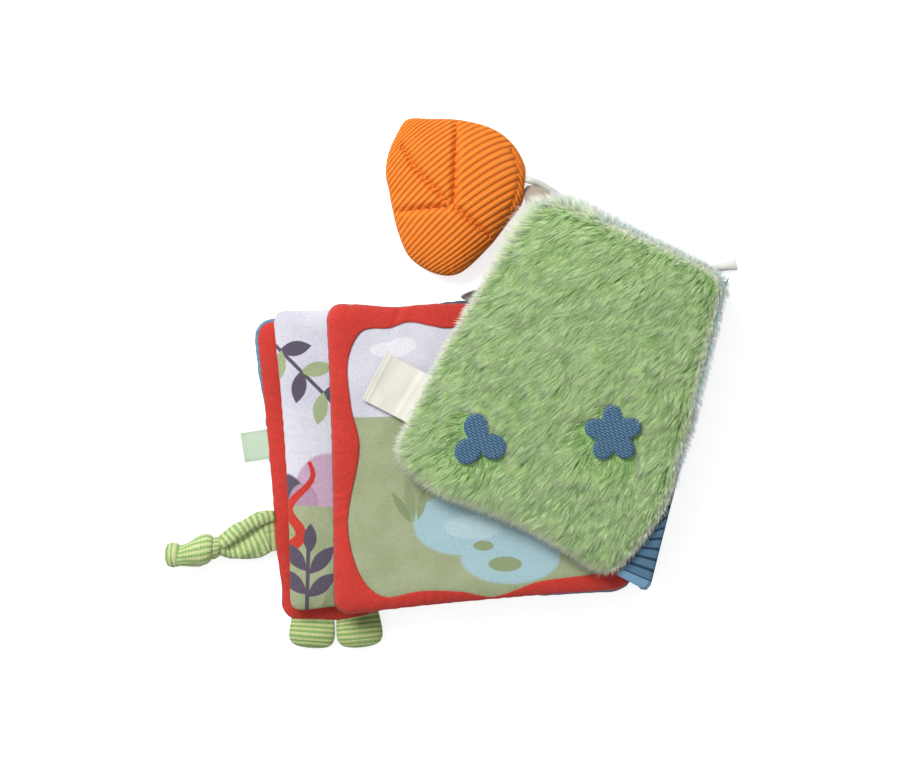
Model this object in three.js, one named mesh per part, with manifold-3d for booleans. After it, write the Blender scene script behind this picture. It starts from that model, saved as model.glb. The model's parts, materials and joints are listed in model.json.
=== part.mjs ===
// Soft activity book for a baby, lying closed on a table.
// All lengths are in millimetres. +X points to the spine, +Y to the top edge, +Z up.
import * as THREE from 'three';
import Module from 'manifold-3d';

const wasm = await Module();
wasm.setup();

// The cloth and what fills it
const FIT = 0.3; // clear space between two pieces that are sewn or laid together
const CLOTH = 1.2; // thickness of one skin
const FLAP_CLOTH = 2.6; // two layers of corduroy in a spine flap
const LEAF_THICK = 9.7; // one padded leaf
const FRONT_LEAF_THICK = 10.4; // the front leaf holds more wadding
const BORDER_CLOTH = 1.1; // wavy border sewn over the front picture
const COVER_BELOW = 5.0; // plush cover, from its seam down
const COVER_ABOVE = 8.0; // plush cover, from its seam up to the top of the pile
const PILE = 4.6; // of that, the lying pile on its cloth
const ROLL = 16; // how far in from the edge a leaf reaches its full thickness
const CORNER = 11; // corner radius of the leaves
const COVER_CORNER = 13;
const DRAWN_IN = 2.4; // how far a sewn side pulls in at its middle

// Places of the leaves: lower left corner, edge lengths, turn of the lower edge, lean of the sides
const BACK = { at: [-101.1, -141.9], wide: 210, turn: 5.5, tall: 178.8, lean: 5.5, spineTall: 188.4, spineLean: 5.5 };
const MIDDLE = { at: [-95.7, -136.8], wide: 203, turn: 4.4, tall: 178.8, lean: 3.4, spineTall: 176.5, spineLean: 4.0 };
const FRONT = { at: [-69.3, -138.6], wide: 178, turn: 5.2, tall: 186.4, lean: 1.4, spineTall: 170.4, spineLean: 2.4 };
// Cut of the plush cover, corner by corner, with how far each side bulges out
const COVER_CUT = [[-31.5, -41.4], [-13.0, -62.8], [97.6, -112.8], [128.4, -75.4], [164.8, 64.8], [58.4, 112.4]];
const COVER_BULGE = [0.6, 1.5, 0.8, 1.2, 1.2, 4.6];
const DROOP_FROM = 52; // past this line nothing holds the cover up from below
const DROOP = 11; // how far its far corner sinks
const DROOP_REACH = 60;

// The fold line that every leaf turns on
const FOLD_FOOT = [124.7, -124.6];
const FOLD_TURN = 13.3; // from the Y axis towards +X
const SPINE_LONG = 189;
const SPINE_CLOTH = 1.8;
const SPINE_HOLD = 8.5; // the flaps end this far short of the fold line
const SPINE_BULGE_LOW = 0.7; // how far a roll of the spine stands out at its lower end
const SPINE_BULGE_HIGH = 5.1; // and at its upper end

const PAGE_FIT = FIT;
const rad = THREE.MathUtils.degToRad;
const add2 = (a, b) => [a[0] + b[0], a[1] + b[1]];
const sub2 = (a, b) => [a[0] - b[0], a[1] - b[1]];
const mul2 = (a, k) => [a[0] * k, a[1] * k];
const len2 = (a) => Math.hypot(a[0], a[1]);
const mix2 = (a, b, t) => [a[0] + (b[0] - a[0]) * t, a[1] + (b[1] - a[1]) * t];
const mix = (a, b, t) => a + (b - a) * t;
const heading = (degrees) => [Math.cos(rad(degrees)), Math.sin(rad(degrees))];
const along = (list, t) => {
  const k = Math.min(list.length - 2, Math.floor(t * (list.length - 1)));
  const f = t * (list.length - 1) - k;
  return list[k].map((v, n) => mix(v, list[k + 1][n], f));
};

// Levels, from the table up
const backLow = 0;
const backTop = backLow + LEAF_THICK;
const middleLow = backTop + PAGE_FIT;
const middleTop = middleLow + LEAF_THICK;
const frontLow = middleTop + PAGE_FIT;
const frontTop = frontLow + FRONT_LEAF_THICK;
const coverLow = frontTop + FIT + BORDER_CLOTH + FIT;
const coverSeam = coverLow + COVER_BELOW;
const coverTop = coverSeam + COVER_ABOVE;
const PATCH_THICK = 1.2;
const stackTop = coverTop + FIT + PATCH_THICK;

// Solids
function solid(positions, triangles) {
  const weld = new Map();
  const kept = [];
  const index = positions.map((p) => {
    const key = p.map((v) => Math.round(v * 1e4)).join();
    if (!weld.has(key)) {
      weld.set(key, kept.length);
      kept.push(p);
    }
    return weld.get(key);
  });
  const faces = triangles
    .map((t) => t.map((n) => index[n]))
    .filter(([a, b, c]) => a !== b && b !== c && c !== a);
  let volume = 0;
  for (const [a, b, c] of faces) {
    const [p, q, r] = [kept[a], kept[b], kept[c]];
    volume += p[0] * (q[1] * r[2] - q[2] * r[1]) - p[1] * (q[0] * r[2] - q[2] * r[0]) + p[2] * (q[0] * r[1] - q[1] * r[0]);
  }
  if (volume < 0) faces.forEach((t) => t.reverse());
  const geometry = new THREE.BufferGeometry();
  geometry.setAttribute('position', new THREE.Float32BufferAttribute(kept.flat(), 3));
  geometry.setIndex(faces.flat());
  return geometry;
}

// A closed skin through rings of points, from one pole to the other
function rings(start, loops, end) {
  const n = loops[0].length;
  const points = [start, ...loops.flat(), end];
  const at = (k, i) => 1 + k * n + (i % n);
  const spread = loops.map((loop) => loop.reduce((sum, p) => sum + Math.hypot(p[0] - start[0], p[1] - start[1]), 0));
  const faces = [];
  for (let i = 0; i < n; i++) {
    faces.push([0, at(0, i + 1), at(0, i)]);
    for (let k = 0; k + 1 < loops.length; k++) {
      // nested skins are cut along the same diagonal, so that they stay apart where they bend
      const [a, b, c, d] = [at(k, i), at(k, i + 1), at(k + 1, i + 1), at(k + 1, i)];
      if (spread[k] <= spread[k + 1]) faces.push([a, b, c], [a, c, d]);
      else faces.push([a, b, d], [b, c, d]);
    }
    faces.push([points.length - 1, at(loops.length - 1, i), at(loops.length - 1, i + 1)]);
  }
  return solid(points, faces);
}

// A closed ring-shaped skin, such as a frame round a window
function hoop(loops) {
  const n = loops[0].length;
  const points = loops.flat();
  const at = (k, i) => (k % loops.length) * n + (i % n);
  const faces = [];
  for (let i = 0; i < n; i++) {
    for (let k = 0; k < loops.length; k++) {
      faces.push([at(k, i), at(k, i + 1), at(k + 1, i + 1)], [at(k, i), at(k + 1, i + 1), at(k + 1, i)]);
    }
  }
  return solid(points, faces);
}

// A sheet with two faces: both are grids of the same size
function sheet(upper, lower) {
  const rows = upper.length;
  const columns = upper[0].length;
  const points = [...upper.flat(), ...lower.flat()];
  const up = (i, j) => i * columns + j;
  const down = (i, j) => rows * columns + i * columns + j;
  const faces = [];
  const quad = (a, b, c, d) => faces.push([a, b, c], [a, c, d]);
  for (let i = 0; i + 1 < rows; i++) {
    for (let j = 0; j + 1 < columns; j++) {
      quad(up(i, j), up(i + 1, j), up(i + 1, j + 1), up(i, j + 1));
      quad(down(i, j), down(i, j + 1), down(i + 1, j + 1), down(i + 1, j));
    }
    quad(up(i, 0), down(i, 0), down(i + 1, 0), up(i + 1, 0));
    quad(up(i, columns - 1), up(i + 1, columns - 1), down(i + 1, columns - 1), down(i, columns - 1));
  }
  for (let j = 0; j + 1 < columns; j++) {
    quad(up(0, j), up(0, j + 1), down(0, j + 1), down(0, j));
    quad(up(rows - 1, j), down(rows - 1, j), down(rows - 1, j + 1), up(rows - 1, j + 1));
  }
  return solid(points, faces);
}

// A tube along a path, with its own half width and half height at each step
function tube(path, widths, heights, sides, lean = 0) {
  const loops = path.map((p, k) => {
    const before = new THREE.Vector3(...path[Math.max(0, k - 1)]);
    const after = new THREE.Vector3(...path[Math.min(path.length - 1, k + 1)]);
    const forward = after.sub(before).normalize();
    const side = new THREE.Vector3(0, 0, 1).cross(forward).normalize();
    const up = forward.clone().cross(side).normalize();
    side.applyAxisAngle(forward, lean);
    up.applyAxisAngle(forward, lean);
    return Array.from({ length: sides }, (_, i) => {
      const a = (i / sides) * 2 * Math.PI;
      return [0, 1, 2].map((c) => {
        const s = side.getComponent(c) * Math.cos(a) * widths[k];
        return p[c] + s + up.getComponent(c) * Math.sin(a) * heights[k];
      });
    });
  });
  return rings(path[0], loops, path[path.length - 1]);
}

function toManifold(geometry) {
  const mesh = new wasm.Mesh({
    numProp: 3,
    vertProperties: new Float32Array(geometry.attributes.position.array),
    triVerts: new Uint32Array(geometry.index.array),
  });
  return new wasm.Manifold(mesh);
}

function fromManifold(body) {
  const mesh = body.getMesh();
  const points = [];
  for (let i = 0; i < mesh.vertProperties.length; i += mesh.numProp) {
    points.push([...mesh.vertProperties.slice(i, i + 3)]);
  }
  const faces = [];
  for (let i = 0; i < mesh.triVerts.length; i += 3) faces.push([...mesh.triVerts.slice(i, i + 3)]);
  return solid(points, faces);
}

// A rounded outline through the corners of a cut, each side bulging out or drawn in at its middle
function outline(corners, radius, bulge, perSide, perCorner) {
  const n = corners.length;
  const points = [];
  for (let k = 0; k < n; k++) {
    const here = corners[k];
    const next = corners[(k + 1) % n];
    const after = corners[(k + 2) % n];
    const side = sub2(next, here);
    const reach = Math.min(radius, len2(side) * 0.4);
    const nextReach = Math.min(radius, len2(side) * 0.4, len2(sub2(after, next)) * 0.4);
    const from = mix2(here, next, reach / len2(side));
    const to = mix2(next, here, nextReach / len2(side));
    const out = mul2([side[1], -side[0]], bulge[k] / len2(side));
    for (let i = 0; i <= perSide; i++) {
      const t = i / perSide;
      points.push(add2(mix2(from, to, t), mul2(out, 4 * t * (1 - t))));
    }
    const turnEnd = mix2(next, after, nextReach / len2(sub2(after, next)));
    for (let i = 1; i <= perCorner; i++) {
      const t = i / (perCorner + 1);
      points.push(mix2(mix2(to, next, t), mix2(next, turnEnd, t), t));
    }
  }
  return points;
}

const middleOf = (points) => mul2(points.reduce(add2), 1 / points.length);

// Rings of a padded shape: steps in from the edge, then shares of what is left
const ROLL_STEPS = [0, 0.1, 0.36, 1];
const CROWN_SHARES = [0.72, 0.46, 0.22];
const rise = (d, roll) => Math.sqrt(Math.max(0, 1 - (1 - Math.min(1, d / roll)) ** 2.4));

function inset(edge, centre, d) {
  return edge.map((p) => {
    const r = len2(sub2(p, centre));
    return mix2(p, centre, Math.min(0.98, d / r));
  });
}

// One sewn skin of a padded shape, open towards its seam: way is +1 above the seam and -1 below.
// A skin with a pile is that much thicker than its cloth.
function skin(edge, seam, height, way, level = () => 0, roll = ROLL, shares = [], pile = 0) {
  const centre = middleOf(edge);
  const lift = (loop, h) => loop.map((p) => [p[0], p[1], seam + level(p, 1) + way * h]);
  const outer = ROLL_STEPS.map((s) => lift(inset(edge, centre, s * roll), FIT / 2 + (height - FIT / 2) * rise(s * roll, roll)));
  const deep = inset(edge, centre, roll);
  shares.forEach((s) => outer.push(lift(deep.map((p) => mix2(centre, p, s)), height)));
  const inner = [lift(inset(edge, centre, CLOTH), FIT / 2)];
  ROLL_STEPS.slice(2).forEach((s) => {
    inner.push(lift(inset(edge, centre, s * roll), FIT / 2 + (height - pile - FIT / 2) * rise(s * roll, roll) - CLOTH));
  });
  shares.forEach((s) => inner.push(lift(deep.map((p) => mix2(centre, p, s)), height - pile - CLOTH)));
  const pole = (h) => [centre[0], centre[1], seam + level(centre, 1) + way * h];
  return rings(pole(height), [...outer.reverse(), ...inner], pole(height - pile - CLOTH));
}

// The wadding between two skins
function wadding(edge, seam, above, below, level = () => 0, roll = ROLL, shares = [], room = FIT) {
  const centre = middleOf(edge);
  const put = (loop, h) => loop.map((p) => [p[0], p[1], seam + level(p, 1) + h]);
  const face = (height, way) => {
    const loops = ROLL_STEPS.slice(2).map((s) => {
      const h = FIT / 2 + (height - FIT / 2) * rise(s * roll, roll) - CLOTH - room;
      return put(inset(edge, centre, s * roll), way * h);
    });
    shares.forEach((s) => {
      const loop = inset(edge, centre, roll).map((p) => mix2(centre, p, s));
      loops.push(put(loop, way * (height - CLOTH - room)));
    });
    return loops;
  };
  const top = face(above, 1).reverse();
  const low = face(below, -1);
  const rim = put(inset(edge, centre, CLOTH + 2 * FIT), 0);
  const pole = (h) => [centre[0], centre[1], seam + level(centre, 1) + h];
  return rings(pole(above - CLOTH - room), [...top, rim, ...low], pole(room + CLOTH - below));
}

function leafCorners(leaf) {
  const low = leaf.at;
  const spine = add2(low, mul2(heading(leaf.turn), leaf.wide));
  const top = add2(low, mul2(heading(90 + leaf.lean), leaf.tall));
  const spineTop = add2(spine, mul2(heading(90 + leaf.spineLean), leaf.spineTall));
  return [low, spine, spineTop, top];
}

const leafEdge = (leaf, drawn = DRAWN_IN) =>
  outline(leafCorners(leaf), CORNER, [-drawn, 0, -drawn, -drawn], 8, 3);

const pieces = [];
function piece(name, geometry, colour) {
  const mesh = new THREE.Mesh(geometry, new THREE.MeshStandardMaterial({ color: colour }));
  mesh.name = name;
  pieces.push(mesh);
}

const CORDUROY_BLUE = 0x56789a;
const RED = 0xce342c;
const PRINT = 0xbec4b4;
const WADDING = 0xf2f2ee;
const ORANGE = 0xf0821e;
const JERSEY = 0xa9c272;

// Back cover
const backEdge = leafEdge(BACK);
const backSeam = backLow + LEAF_THICK / 2;
piece('back_cover_outer', skin(backEdge, backSeam, LEAF_THICK / 2, -1), CORDUROY_BLUE);
piece('back_cover_lining', skin(backEdge, backSeam, LEAF_THICK / 2, 1), RED);
piece('back_cover_wadding', wadding(backEdge, backSeam, LEAF_THICK / 2, LEAF_THICK / 2), WADDING);

// Middle leaf, with a film inside that crinkles
const FILM = 0.4;
const FILM_SHARE = 0.62;
const middleEdge = leafEdge(MIDDLE);
const middleSeam = middleLow + LEAF_THICK / 2;
piece('middle_page_face', skin(middleEdge, middleSeam, LEAF_THICK / 2, 1), PRINT);
piece('middle_page_reverse', skin(middleEdge, middleSeam, LEAF_THICK / 2, -1), PRINT);
const filmRoom = FILM + FIT;
const middlePad = wadding(middleEdge, middleSeam, LEAF_THICK / 2 - filmRoom, LEAF_THICK / 2);
piece('middle_page_wadding', middlePad, WADDING);
const middleCentre = middleOf(middleEdge);
const filmTop = middleTop - CLOTH - FIT;
const filmLoop = (z) =>
  middleEdge.filter((_, i) => i % 2 === 0).map((p) => [...mix2(middleCentre, p, FILM_SHARE), z]);
const filmPole = (z) => [...middleCentre, z];
const film = rings(filmPole(filmTop), [filmLoop(filmTop), filmLoop(filmTop - FILM)], filmPole(filmTop - FILM));
piece('crinkle_film', film, 0xd8dde2);

// Front leaf, with a squeaker in its wadding and a wavy border round its picture
const SQUEAKER_ACROSS = 34;
const SQUEAKER_LIP = 1.4;
const frontEdge = leafEdge(FRONT, DRAWN_IN / 2);
const frontSeam = frontLow + FRONT_LEAF_THICK / 2;
const frontHalf = FRONT_LEAF_THICK / 2;
piece('front_page_face', skin(frontEdge, frontSeam, frontHalf, 1), PRINT);
piece('front_page_reverse', skin(frontEdge, frontSeam, frontHalf, -1), PRINT);
const frontCentre = middleOf(frontEdge);
const squeakerTall = FRONT_LEAF_THICK - 2 * CLOTH - 2 * FIT;
const squeakerAt = add2(frontCentre, mul2(heading(FRONT.turn), -FRONT.wide / 9));
const pocket = wasm.Manifold.cylinder(2 * FRONT_LEAF_THICK, SQUEAKER_ACROSS / 2 + FIT, undefined, 24, true)
  .translate([...squeakerAt, frontSeam]);
piece('front_page_wadding', fromManifold(toManifold(wadding(frontEdge, frontSeam, frontHalf, frontHalf)).subtract(pocket)), WADDING);
const squeakerR = SQUEAKER_ACROSS / 2;
const squeakerProfile = [
  [0, -squeakerTall / 2],
  [squeakerR - SQUEAKER_LIP, -squeakerTall / 2],
  [squeakerR, -squeakerTall / 2 + SQUEAKER_LIP],
  [squeakerR - SQUEAKER_LIP, 0],
  [squeakerR, squeakerTall / 2 - SQUEAKER_LIP],
  [squeakerR - SQUEAKER_LIP, squeakerTall / 2],
  [0, squeakerTall / 2],
];
function turned(profile, centre, z, sides) {
  const loops = profile.slice(1, -1).map(([r, h]) =>
    Array.from({ length: sides }, (_, i) => {
      const a = (i / sides) * 2 * Math.PI;
      return [centre[0] + r * Math.cos(a), centre[1] + r * Math.sin(a), z + h];
    }),
  );
  return rings([...centre, z + profile[0][1]], loops, [...centre, z + profile.at(-1)[1]]);
}
piece('squeaker', turned(squeakerProfile, squeakerAt, frontSeam, 24), 0xf4f4f0);

// The border lies on the face and follows its rolled edge
const BORDER_WIDE = 15;
const BORDER_WAVE = 3.4;
const BORDER_WAVES = 11;
const borderTop = (d, lift) => frontSeam + FIT / 2 + (frontHalf - FIT / 2) * rise(d, ROLL) + lift;
const borderLoops = (() => {
  const n = frontEdge.length;
  const loop = (d, lift) => inset(frontEdge, frontCentre, d).map((p) => [...p, borderTop(d, lift)]);
  const waved = (lift) =>
    frontEdge.map((p, i) => {
      const d = ROLL + BORDER_WIDE / 2 + BORDER_WAVE * Math.sin((i / n) * 2 * Math.PI * BORDER_WAVES);
      return [...mix2(p, frontCentre, d / len2(sub2(p, frontCentre))), borderTop(d, lift)];
    });
  const steps = ROLL_STEPS.slice(1).map((s) => s * ROLL);
  const up = steps.map((d) => loop(d, FIT + BORDER_CLOTH));
  const down = steps.map((d) => loop(d, FIT)).reverse();
  return [...up, waved(FIT + BORDER_CLOTH), waved(FIT), ...down];
})();
piece('front_page_border', hoop(borderLoops), RED);

// Plush cover
const coverEdge = outline(COVER_CUT, COVER_CORNER, COVER_BULGE, 5, 3);
const coverCentre = middleOf(coverEdge);
const droop = (p) => {
  const past = Math.max(0, p[1] - DROOP_FROM) / DROOP_REACH;
  return -DROOP * past * past;
};
const COVER_ROLL = 13;
const coverShares = CROWN_SHARES;
piece('fur_panel', skin(coverEdge, coverSeam, COVER_ABOVE, 1, droop, COVER_ROLL, coverShares, PILE), 0x9cc47a);
piece('cover_lining', skin(coverEdge, coverSeam, COVER_BELOW, -1, droop, COVER_ROLL, coverShares), 0x8a7c70);
const coverPad = wadding(coverEdge, coverSeam, COVER_ABOVE - PILE, COVER_BELOW, droop, COVER_ROLL, coverShares);
piece('cover_wadding', coverPad, WADDING);

// Satin-stitched motifs that lie on the pile: a three-lobed leaf and a flower with five petals
const PETAL_STEPS = 8;
const PATCH_SEEDS = [
  { name: 'stitched_sprig', across: 0.146, up: 0.203, petals: 3, reach: 17, waist: 0.4, turn: 100 },
  { name: 'stitched_flower', across: 0.751, up: 0.395, petals: 5, reach: 17.5, waist: 0.6, turn: 20 },
];
// A place on the cover, as shares of the way from its lower left corner to the right and up
const onCover = (across, up) =>
  mix2(mix2(COVER_CUT[1], COVER_CUT[2], across), mix2(COVER_CUT[5], COVER_CUT[4], across), up);
for (const seed of PATCH_SEEDS) {
  const at = onCover(seed.across, seed.up);
  const steps = seed.petals * PETAL_STEPS;
  const loop = (z) =>
    Array.from({ length: steps }, (_, i) => {
      const a = (i / steps) * 2 * Math.PI;
      const wave = Math.abs(Math.cos((a * seed.petals) / 2));
      const r = seed.reach * mix(seed.waist, 1, wave);
      return [...add2(at, [r * Math.cos(a + rad(seed.turn)), r * Math.sin(a + rad(seed.turn))]), z];
    });
  const low = coverTop + FIT;
  const top = low + PATCH_THICK;
  piece(seed.name, rings([...at, top], [loop(top), loop(low)], [...at, low]), 0x4b6f8d);
}

// The fold line, and the spine's flaps and rolls
const foldWay = [Math.sin(rad(FOLD_TURN)), Math.cos(rad(FOLD_TURN))];
const foldOut = [foldWay[1], -foldWay[0]];
const onFold = (s, u) => add2(FOLD_FOOT, add2(mul2(foldWay, s), mul2(foldOut, u)));
const foldHigh = stackTop / 2;

const FLAP_ROWS = 6;
const FLAP_COLUMNS = 3;
function flap(leaf, seam) {
  const corners = leafCorners(leaf);
  const inward = corners[1];
  const upward = corners[2];
  const inset0 = (CORNER * 0.6) / leaf.spineTall;
  const face = (z) =>
    Array.from({ length: FLAP_ROWS }, (_, i) => {
      const t = i / (FLAP_ROWS - 1);
      const nearLeaf = add2(mix2(inward, upward, mix(inset0, 1 - inset0, t)), [FIT * 1.2, 0]);
      const nearFold = onFold(mix(SPINE_LONG * 0.02, SPINE_LONG * 0.975, t), -SPINE_HOLD);
      return Array.from({ length: FLAP_COLUMNS }, (_, j) => [...mix2(nearLeaf, nearFold, j / (FLAP_COLUMNS - 1)), z]);
    });
  return sheet(face(seam + FLAP_CLOTH / 2), face(seam - FLAP_CLOTH / 2));
}
piece('back_spine_flap', flap(BACK, backSeam), CORDUROY_BLUE);
piece('middle_spine_flap', flap(MIDDLE, middleSeam), CORDUROY_BLUE);
piece('front_spine_flap', flap(FRONT, frontSeam), CORDUROY_BLUE);

// A roll of the spine between two flaps: cloth that bulges out, so that a leaf has slack to turn
const ROLL_ROWS = 7;
const ROLL_COLUMNS = 9;
const rollStart = SPINE_HOLD - FIT - SPINE_CLOTH / 2;
const rollBulge = (t) => mix(SPINE_BULGE_LOW, SPINE_BULGE_HIGH, t);
function spineRoll(lowZ, highZ) {
  const lineAt = (t) =>
    Array.from({ length: ROLL_COLUMNS }, (_, j) => {
      const a = j / (ROLL_COLUMNS - 1);
      return [-rollStart + rollBulge(t) * Math.sin(Math.PI * a) ** 0.8, mix(lowZ, highZ, a)];
    });
  const rowOf = (t, side) => {
    const line = lineAt(t);
    return line.map((p, j) => {
      const way = sub2(line[Math.min(line.length - 1, j + 1)], line[Math.max(0, j - 1)]);
      const q = add2(p, mul2([way[1], -way[0]], (side * SPINE_CLOTH) / 2 / len2(way)));
      return [...onFold(SPINE_LONG * t, q[0]), q[1]];
    });
  };
  const face = (side) => Array.from({ length: ROLL_ROWS }, (_, i) => rowOf(i / (ROLL_ROWS - 1), side));
  return sheet(face(1), face(-1));
}
const endGap = SPINE_CLOTH / 2 + FIT / 2;
piece('spine_roll_low', spineRoll(backSeam + endGap, middleSeam - endGap), CORDUROY_BLUE);
piece('spine_roll_middle', spineRoll(middleSeam + endGap, frontSeam - endGap), CORDUROY_BLUE);

// The top of the spine comes round and is sewn under the plush cover's edge
const STRIP_ROWS = 9;
const STRIP_OFF = 2; // from the plush cover's seam line to the edge of the spine cloth
const stripTop = coverSeam - COVER_BELOW * 0.1;
const topStrip = (() => {
  const outOf = (a, b) => mul2([b[1] - a[1], a[0] - b[0]], 1 / len2(sub2(b, a)));
  const hemOut = outOf(COVER_CUT[2], COVER_CUT[3]);
  const sideOut = outOf(COVER_CUT[3], COVER_CUT[4]);
  const both = add2(hemOut, sideOut);
  const mitre = mul2(both, 2 / (len2(both) * len2(both)));
  const furSide = [
    add2(COVER_CUT[2], mul2(hemOut, STRIP_OFF)),
    add2(COVER_CUT[3], mul2(mitre, STRIP_OFF)),
    add2(COVER_CUT[4], mul2(sideOut, STRIP_OFF)),
  ];
  const fur = (t) => (t < 0.3 ? mix2(furSide[0], furSide[1], t / 0.3) : mix2(furSide[1], furSide[2], (t - 0.3) / 0.7));
  const lowZ = frontSeam + endGap;
  const highZ = stripTop;
  const rowOf = (t, side) => {
    const s = SPINE_LONG * t;
    const columns = 8;
    const round = Array.from({ length: columns }, (_, j) => {
      const a = j / (columns - 1);
      return [-rollStart + rollBulge(t) * Math.sin(Math.PI * 0.62 * a) ** 0.8, mix(lowZ, highZ, a ** 0.9)];
    });
    const last = onFold(s, round.at(-1)[0]);
    const target = fur(t);
    const points = round.map(([u, z]) => [...onFold(s, u), z]);
    const away = len2(sub2(target, last));
    const keep = Math.max(1.5, away);
    const way = mul2(sub2(target, last), 1 / Math.max(1e-6, away));
    [0.5, 1].forEach((f) => points.push([...add2(last, mul2(way, keep * f)), highZ]));
    return points.map((p, j) => {
      const a = points[Math.max(0, j - 1)];
      const b = points[Math.min(points.length - 1, j + 1)];
      const du = (b[0] - a[0]) * foldOut[0] + (b[1] - a[1]) * foldOut[1];
      const dz = b[2] - a[2];
      const l = Math.hypot(du, dz);
      const n = [dz / l, -du / l];
      const off = (side * SPINE_CLOTH) / 2;
      return [p[0] + foldOut[0] * n[0] * off, p[1] + foldOut[1] * n[0] * off, p[2] + n[1] * off];
    });
  };
  const face = (side) => Array.from({ length: STRIP_ROWS }, (_, i) => rowOf(i / (STRIP_ROWS - 1), side));
  return sheet(face(1), face(-1));
})();
piece('spine_roll_high', topStrip, CORDUROY_BLUE);

// A place on a sewn side of a leaf, a little way out from its edge
function onSide(leaf, side, t, out, drawn = DRAWN_IN) {
  const corners = leafCorners(leaf);
  const from = corners[side];
  const to = corners[(side + 1) % corners.length];
  const way = mul2(sub2(to, from), 1 / len2(sub2(to, from)));
  const long = len2(sub2(to, from));
  const bowed = Math.min(1, Math.max(0, (t * long - CORNER) / (long - 2 * CORNER)));
  const off = out - drawn * 4 * bowed * (1 - bowed);
  return add2(mix2(from, to, t), mul2([way[1], -way[0]], off));
}

// Two stuffed feet sewn into the lower edge
const FOOT_THICK = 11;
const SEAM_ROOM = 0.8; // from a sewn edge to a piece that flaps at it
const FEET = [
  { name: 'left_foot', t: 0.08, wide: 28.8, long: 18.2 },
  { name: 'right_foot', t: 0.22, wide: 27.8, long: 21 },
];
const FOOT_STEPS = [0, 0.14, 0.36, 0.62, 0.82, 0.94, 1];
const FOOT_WIDTHS = [0.93, 0.97, 1, 0.96, 0.8, 0.56, 0.25];
const FOOT_HEIGHTS = [0.15, 0.58, 0.94, 1, 0.84, 0.56, 0.24];
for (const foot of FEET) {
  const start = onSide(BACK, 0, foot.t, SEAM_ROOM);
  const way = heading(BACK.turn - 90);
  const heights = FOOT_HEIGHTS.map((h) => (h * FOOT_THICK) / 2);
  const path = FOOT_STEPS.map((f, k) => {
    const high = Math.max(heights[k] + FIT / 2, mix(backSeam, FOOT_THICK / 2, Math.min(1, f * 2.4)));
    return [...add2(start, mul2(way, f * foot.long)), high];
  });
  piece(foot.name, tube(path, FOOT_WIDTHS.map((w) => (w * foot.wide) / 2), heights, 16), JERSEY);
}

// A knotted jersey tail sewn into the left edge
const TAIL_BODY = [[-105.3, -88.8], [-111, -90.2], [-118.5, -92.6], [-127.5, -95.6], [-135.2, -97.5]];
const TAIL_NECK = [[-139.5, -98.6], [-147, -100.6], [-154.5, -102.2], [-161.5, -103.0]];
const TAIL_END = [[-163.6, -103.1], [-166.8, -103.2], [-169.8, -103.2], [-171.6, -103.2]];
const TAIL_PATH = [...TAIL_BODY, ...TAIL_NECK, ...TAIL_END];
const NECK_WIDE = 3.2; // half the width of the tail where it is knotted
const TAIL_WIDTHS = [12.2, 12.8, 12.5, 10.6, 7.0, 3.3, NECK_WIDE, NECK_WIDE, 3.4, 5.8, 7.2, 6.0, 2.6];
const TAIL_HEIGHTS = [0.9, 3.8, 5.4, 5.8, 4.9, 3.3, 3.2, 3.2, 3.4, 5.0, 6.0, 5.2, 2.6];
const KNOT_THICK = 5.4;
const KNOT_ROOM = 0.4; // between the neck of the tail and the cloth knotted round it
const knotHigh = NECK_WIDE + KNOT_ROOM + FIT + KNOT_THICK + FIT / 2;
const tailHigh = [backSeam, 5.0, 6.0, 7.0, 8.0, knotHigh, knotHigh, knotHigh, knotHigh, knotHigh, 8.6, 8.2, 8.0];
const tailRoot = onSide(BACK, 3, 0.702, SEAM_ROOM);
const tailOut = mul2(heading(180 + BACK.lean), len2(sub2(TAIL_PATH[1], TAIL_PATH[0])));
const tailPlaces = [tailRoot, add2(tailRoot, tailOut), ...TAIL_PATH.slice(2)];
const tailPath = tailPlaces.map((p, k) => [...p, tailHigh[k]]);
piece('tail_tube', tube(tailPath, TAIL_WIDTHS, TAIL_HEIGHTS, 14), JERSEY);

// A wrap round the neck of the tail: barrel section, with a crease that runs slantwise
function wrap(from, to, innerR, thick, slant, crease) {
  const a = new THREE.Vector3(...from);
  const b = new THREE.Vector3(...to);
  const forward = b.clone().sub(a).normalize();
  const side = new THREE.Vector3(0, 0, 1).cross(forward).normalize();
  const up = forward.clone().cross(side).normalize();
  const long = a.distanceTo(b);
  const profile = [[0.04, 0], [0, 0.55], [0.12, 0.9], [0.34, 1], [0.66, 1], [0.88, 0.9], [1, 0.55], [0.96, 0]];
  const sides = 18;
  const loops = profile.map(([f, h]) =>
    Array.from({ length: sides }, (_, i) => {
      const turn = (i / sides) * 2 * Math.PI;
      const fold = 1 - crease * (0.5 + 0.5 * Math.cos(turn + f * 4.2)) ** 4;
      const r = innerR + FIT + thick * h * (h > 0.2 ? fold : 1);
      const reach = f * long + slant * Math.cos(turn);
      const p = a.clone().addScaledVector(forward, reach);
      p.addScaledVector(side, r * Math.cos(turn)).addScaledVector(up, r * Math.sin(turn));
      return p.toArray();
    }),
  );
  return hoop(loops);
}
const knotFrom = [...TAIL_NECK[0], knotHigh];
const knotTo = [...TAIL_NECK.at(-1), knotHigh];
const knotShare = (t) => knotFrom.map((v, k) => mix(v, knotTo[k], t));
const knotInner = NECK_WIDE + KNOT_ROOM;
piece('tail_knot', wrap(knotShare(0.30), knotShare(0.94), knotInner, KNOT_THICK, 0.8, 0.32), JERSEY);
piece('tail_knot_turn', wrap(knotShare(0.05), knotShare(0.25), knotInner + 0.1, KNOT_THICK * 0.8, 0.5, 0.1), JERSEY);

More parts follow.
